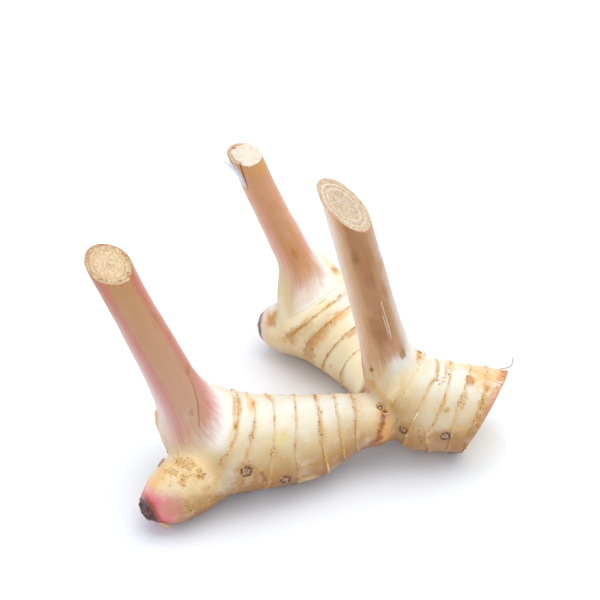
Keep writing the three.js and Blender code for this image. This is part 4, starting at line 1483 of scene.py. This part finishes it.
# Larger shreds, as (points in the limbs' own frame, way that the broad side faces, width, colour)
SHREDS = [
    (
        [(-22, 54, 76.4), (-25.1, 55.4, 81.8), (-29.5, 57.4, 85.7)],
        (-0.3, -0.9, 0.2), 1.1, (236, 238, 246),
    ),
    (
        [(-21.4, 54.2, 75.6), (-24.6, 55.8, 81.2), (-28.6, 58, 86.8)],
        (-0.3, -0.9, 0.2), 0.8, (250, 244, 240),
    ),
    (
        [(-50, -31.4, 39.6), (-52.4, -30.9, 34), (-52.3, -30.7, 27.9), (-50.4, -31, 18.4)],
        (-0.6, -0.8, 0.1), 2.8, (240, 194, 140),
    ),
    (
        [(-52, -45.8, 21.6), (-50.6, -45, 23.4), (-49.6, -44.4, 24.6)],
        (-0.3, -0.6, 0.7), 1, (190, 150, 116),
    ),
    ([(-50.9, -61.4, 8.4), (-49.4, -61, 6.4), (-47.8, -60.4, 4.6)], (-0.5, -0.8, 0.2), 1.8, TAN),
    ([(48.3, -4, 38.2), (47.4, -4, 39.8), (46.8, -4, 41.4)], (0, -1, 0.2), 0.3, (214, 178, 140)),
    (
        [(76.4, -5.5, 33.3), (79, -5.5, 33.8), (80.6, -5.5, 35), (80.7, -5.5, 38.9)],
        (0, -1, 0.3), 0.4, (206, 152, 120),
    ),
    (
        [(30.8, -25, 28.9), (32, -25.3, 28.6), (33.4, -24.9, 28.8)],
        (-0.2, -0.8, 0.6), 0.3, (240, 212, 172),
    ),
    (
        [(31.4, -25.3, 28.2), (32.4, -25.6, 27.7), (33.2, -25.3, 27.1)],
        (0, -0.9, 0.4), 0.26, (228, 188, 138),
    ),
    ([(38.2, -27.2, 21.4), (37.4, -27.3, 22.6), (38.2, -26.8, 24.2)], (0, -1, 0.2), 0.5, (120, 76, 46)),
]
# Small shreds along the rings: how many are tried, and how dark a ring has to be to carry one
FRINGES = 70
FRINGES_SEED = 11
FRINGED_TONE = 0.3


def ring_fringes(bm, layer, tree):
    """Short ragged shreds left along the rings by the scale leaves that they carried."""
    random = np.random.default_rng(FRINGES_SEED)
    ringed = [limb for limb in LIMBS if limb.rings]
    for _ in range(FRINGES):
        limb = ringed[random.integers(len(ringed))]
        mark, _, _, tone = limb.rings[random.integers(len(limb.rings))]
        start, length = random.uniform(-125, 60), random.uniform(4, 13)
        lift, lean = random.uniform(0.02, 0.16), random.uniform(-0.5, 0.3)
        path = []
        for share in (0, 0.33, 0.67, 1):
            at, out = on_skin(tree, limb, mark - 0.1 + lean * share, start + length * share, lift)
            path.append(at)
        colour = [AMBER, TAN, TAN, (246, 226, 190)][random.integers(4)]
        facing = (out + 0.5 * Vector(random.normal(0, 0.5, 3))).normalized()
        if tone > FRINGED_TONE and min(at.z for at in path) > MM:
            shred(bm, layer, path, facing, random.uniform(0.3, 0.6), colour, thick=0.08, taper=0.8)


def shreds(tree):
    """The larger shreds and those along the rings, in one mesh."""
    bm = bmesh.new()
    layer = bm.verts.layers.float_color.new("tint")
    for points, facing, width, colour in SHREDS:
        shred(bm, layer, [placed(*point) for point in points], facing, width, colour)
    ring_fringes(bm, layer, tree)
    return mesh_from(bm, "shreds")


# The pieces

skin = skin_paint("rhizome_skin")
stem_skin = skin_paint("stem_skin", 0.4)
old_flesh = flesh_paint("old_flesh", 0.9, (214, 164, 104))
left_flesh = flesh_paint("left_flesh", 1.3, (178, 116, 50))
right_flesh = flesh_paint("right_flesh", 0.85, (204, 152, 98))
back_flesh = flesh_paint("back_flesh", 0.9, (216, 166, 112))
cork = cork_paint("bark_and_scars")
paper = cork_paint("papery_shreds", 0.55)

root = rhizome()
tree = tree_of(root)
show(root, "ringed_rhizome", skin, old_flesh, slot="rhizome", replaces=["rhizome"])
for name, slot, limb, cut, painter, centre, flesh in (
    ("left_stem", "stem_left", front, LEFT_CUT, left_cut, (0.3, 0, 0), left_flesh),
    ("right_stem", "stem_right", mother, RIGHT_CUT, right_cut, (0, 0, 0), right_flesh),
    ("back_stem", "stem_back", back, BACK_CUT, back_cut, (0, 0, 0), back_flesh),
):
    show(stem(limb, cut, painter, centre), name, stem_skin, flesh, slot=slot, replaces=[slot])
front_bud = bud(front_knob, FRONT_BUD_FROM, sides=132, dead=3.8)
show(front_bud, "front_bud", skin, slot="bud_left", replaces=["bud_left"])
back_bud = bud(back_knob, BACK_BUD_FROM, sides=96)
show(back_bud, "back_bud", skin, slot="bud_back", replaces=["bud_back"])

rows = [(*on_skin(tree, limb, distance, turn, -0.1), size) for limb, distance, turn, size in ROOT_SCARS]
show(scars("root_scars", rows, SCAR_PROFILE, SCAR_STOPS), "root_scars", cork, slot="rhizome")
rows = [(*plane_of(FORK_SCAR[:2]), FORK_SCAR[2]), (*on_skin(tree, *HEEL_SCAR[:3]), HEEL_SCAR[3])]
show(scars("fork_scar", rows, FORK_PROFILE, FORK_STOPS), "fork_scar", cork, slot="rhizome")
show(crumbs(root, tree), "bark_crumbs", cork, slot="rhizome")
show(shreds(tree), "papery_shreds", paper, slot="rhizome")


# The studio, in metres and degrees

FLOOR_REACH = 4
SKY_COLOUR, SKY_STRENGTH = (0.78, 0.88, 1, 1), 0.98
LAMP_AT, LAMP_WIDTH, LAMP_POWER, LAMP_COLOUR = (0.1, 0.25, 1.2), 1.1, 8.5, (1, 0.94, 0.84)
CAMERA_AT, CAMERA_TILT, CAMERA_ANGLE = (-0.0024, -0.4426, 0.4313), 50, 22


def studio():
    """A white floor under an even sky, with one broad lamp overhead."""
    bm = bmesh.new()
    bmesh.ops.create_grid(bm, x_segments=1, y_segments=1, size=FLOOR_REACH)
    mesh = mesh_from(bm, "floor")
    mesh.materials.append(floor_paint())
    linked("floor", mesh)
    world = bpy.data.worlds.new("studio")
    bpy.context.scene.world = world
    world.use_nodes = True
    sky = world.node_tree.nodes["Background"].inputs
    sky["Color"].default_value = SKY_COLOUR
    sky["Strength"].default_value = SKY_STRENGTH
    lamp = bpy.data.lights.new("overhead", "AREA")
    lamp.size, lamp.energy, lamp.color = LAMP_WIDTH, LAMP_POWER, LAMP_COLOUR
    light = linked("overhead", lamp)
    light.location = LAMP_AT
    light.rotation_euler = (-light.location).to_track_quat("-Z", "Y").to_euler()


def camera():
    """Looks at the root from in front and above, as the photograph does."""
    lens = bpy.data.cameras.new("camera")
    lens.sensor_width = 36
    lens.angle = math.radians(CAMERA_ANGLE)
    lens.clip_start, lens.clip_end = 0.01, 20
    view = linked("camera", lens)
    view.location = CAMERA_AT
    view.rotation_euler = (math.radians(CAMERA_TILT), 0, 0)
    bpy.context.scene.camera = view


studio()
camera()
bpy.context.scene.view_settings.view_transform = "Standard"
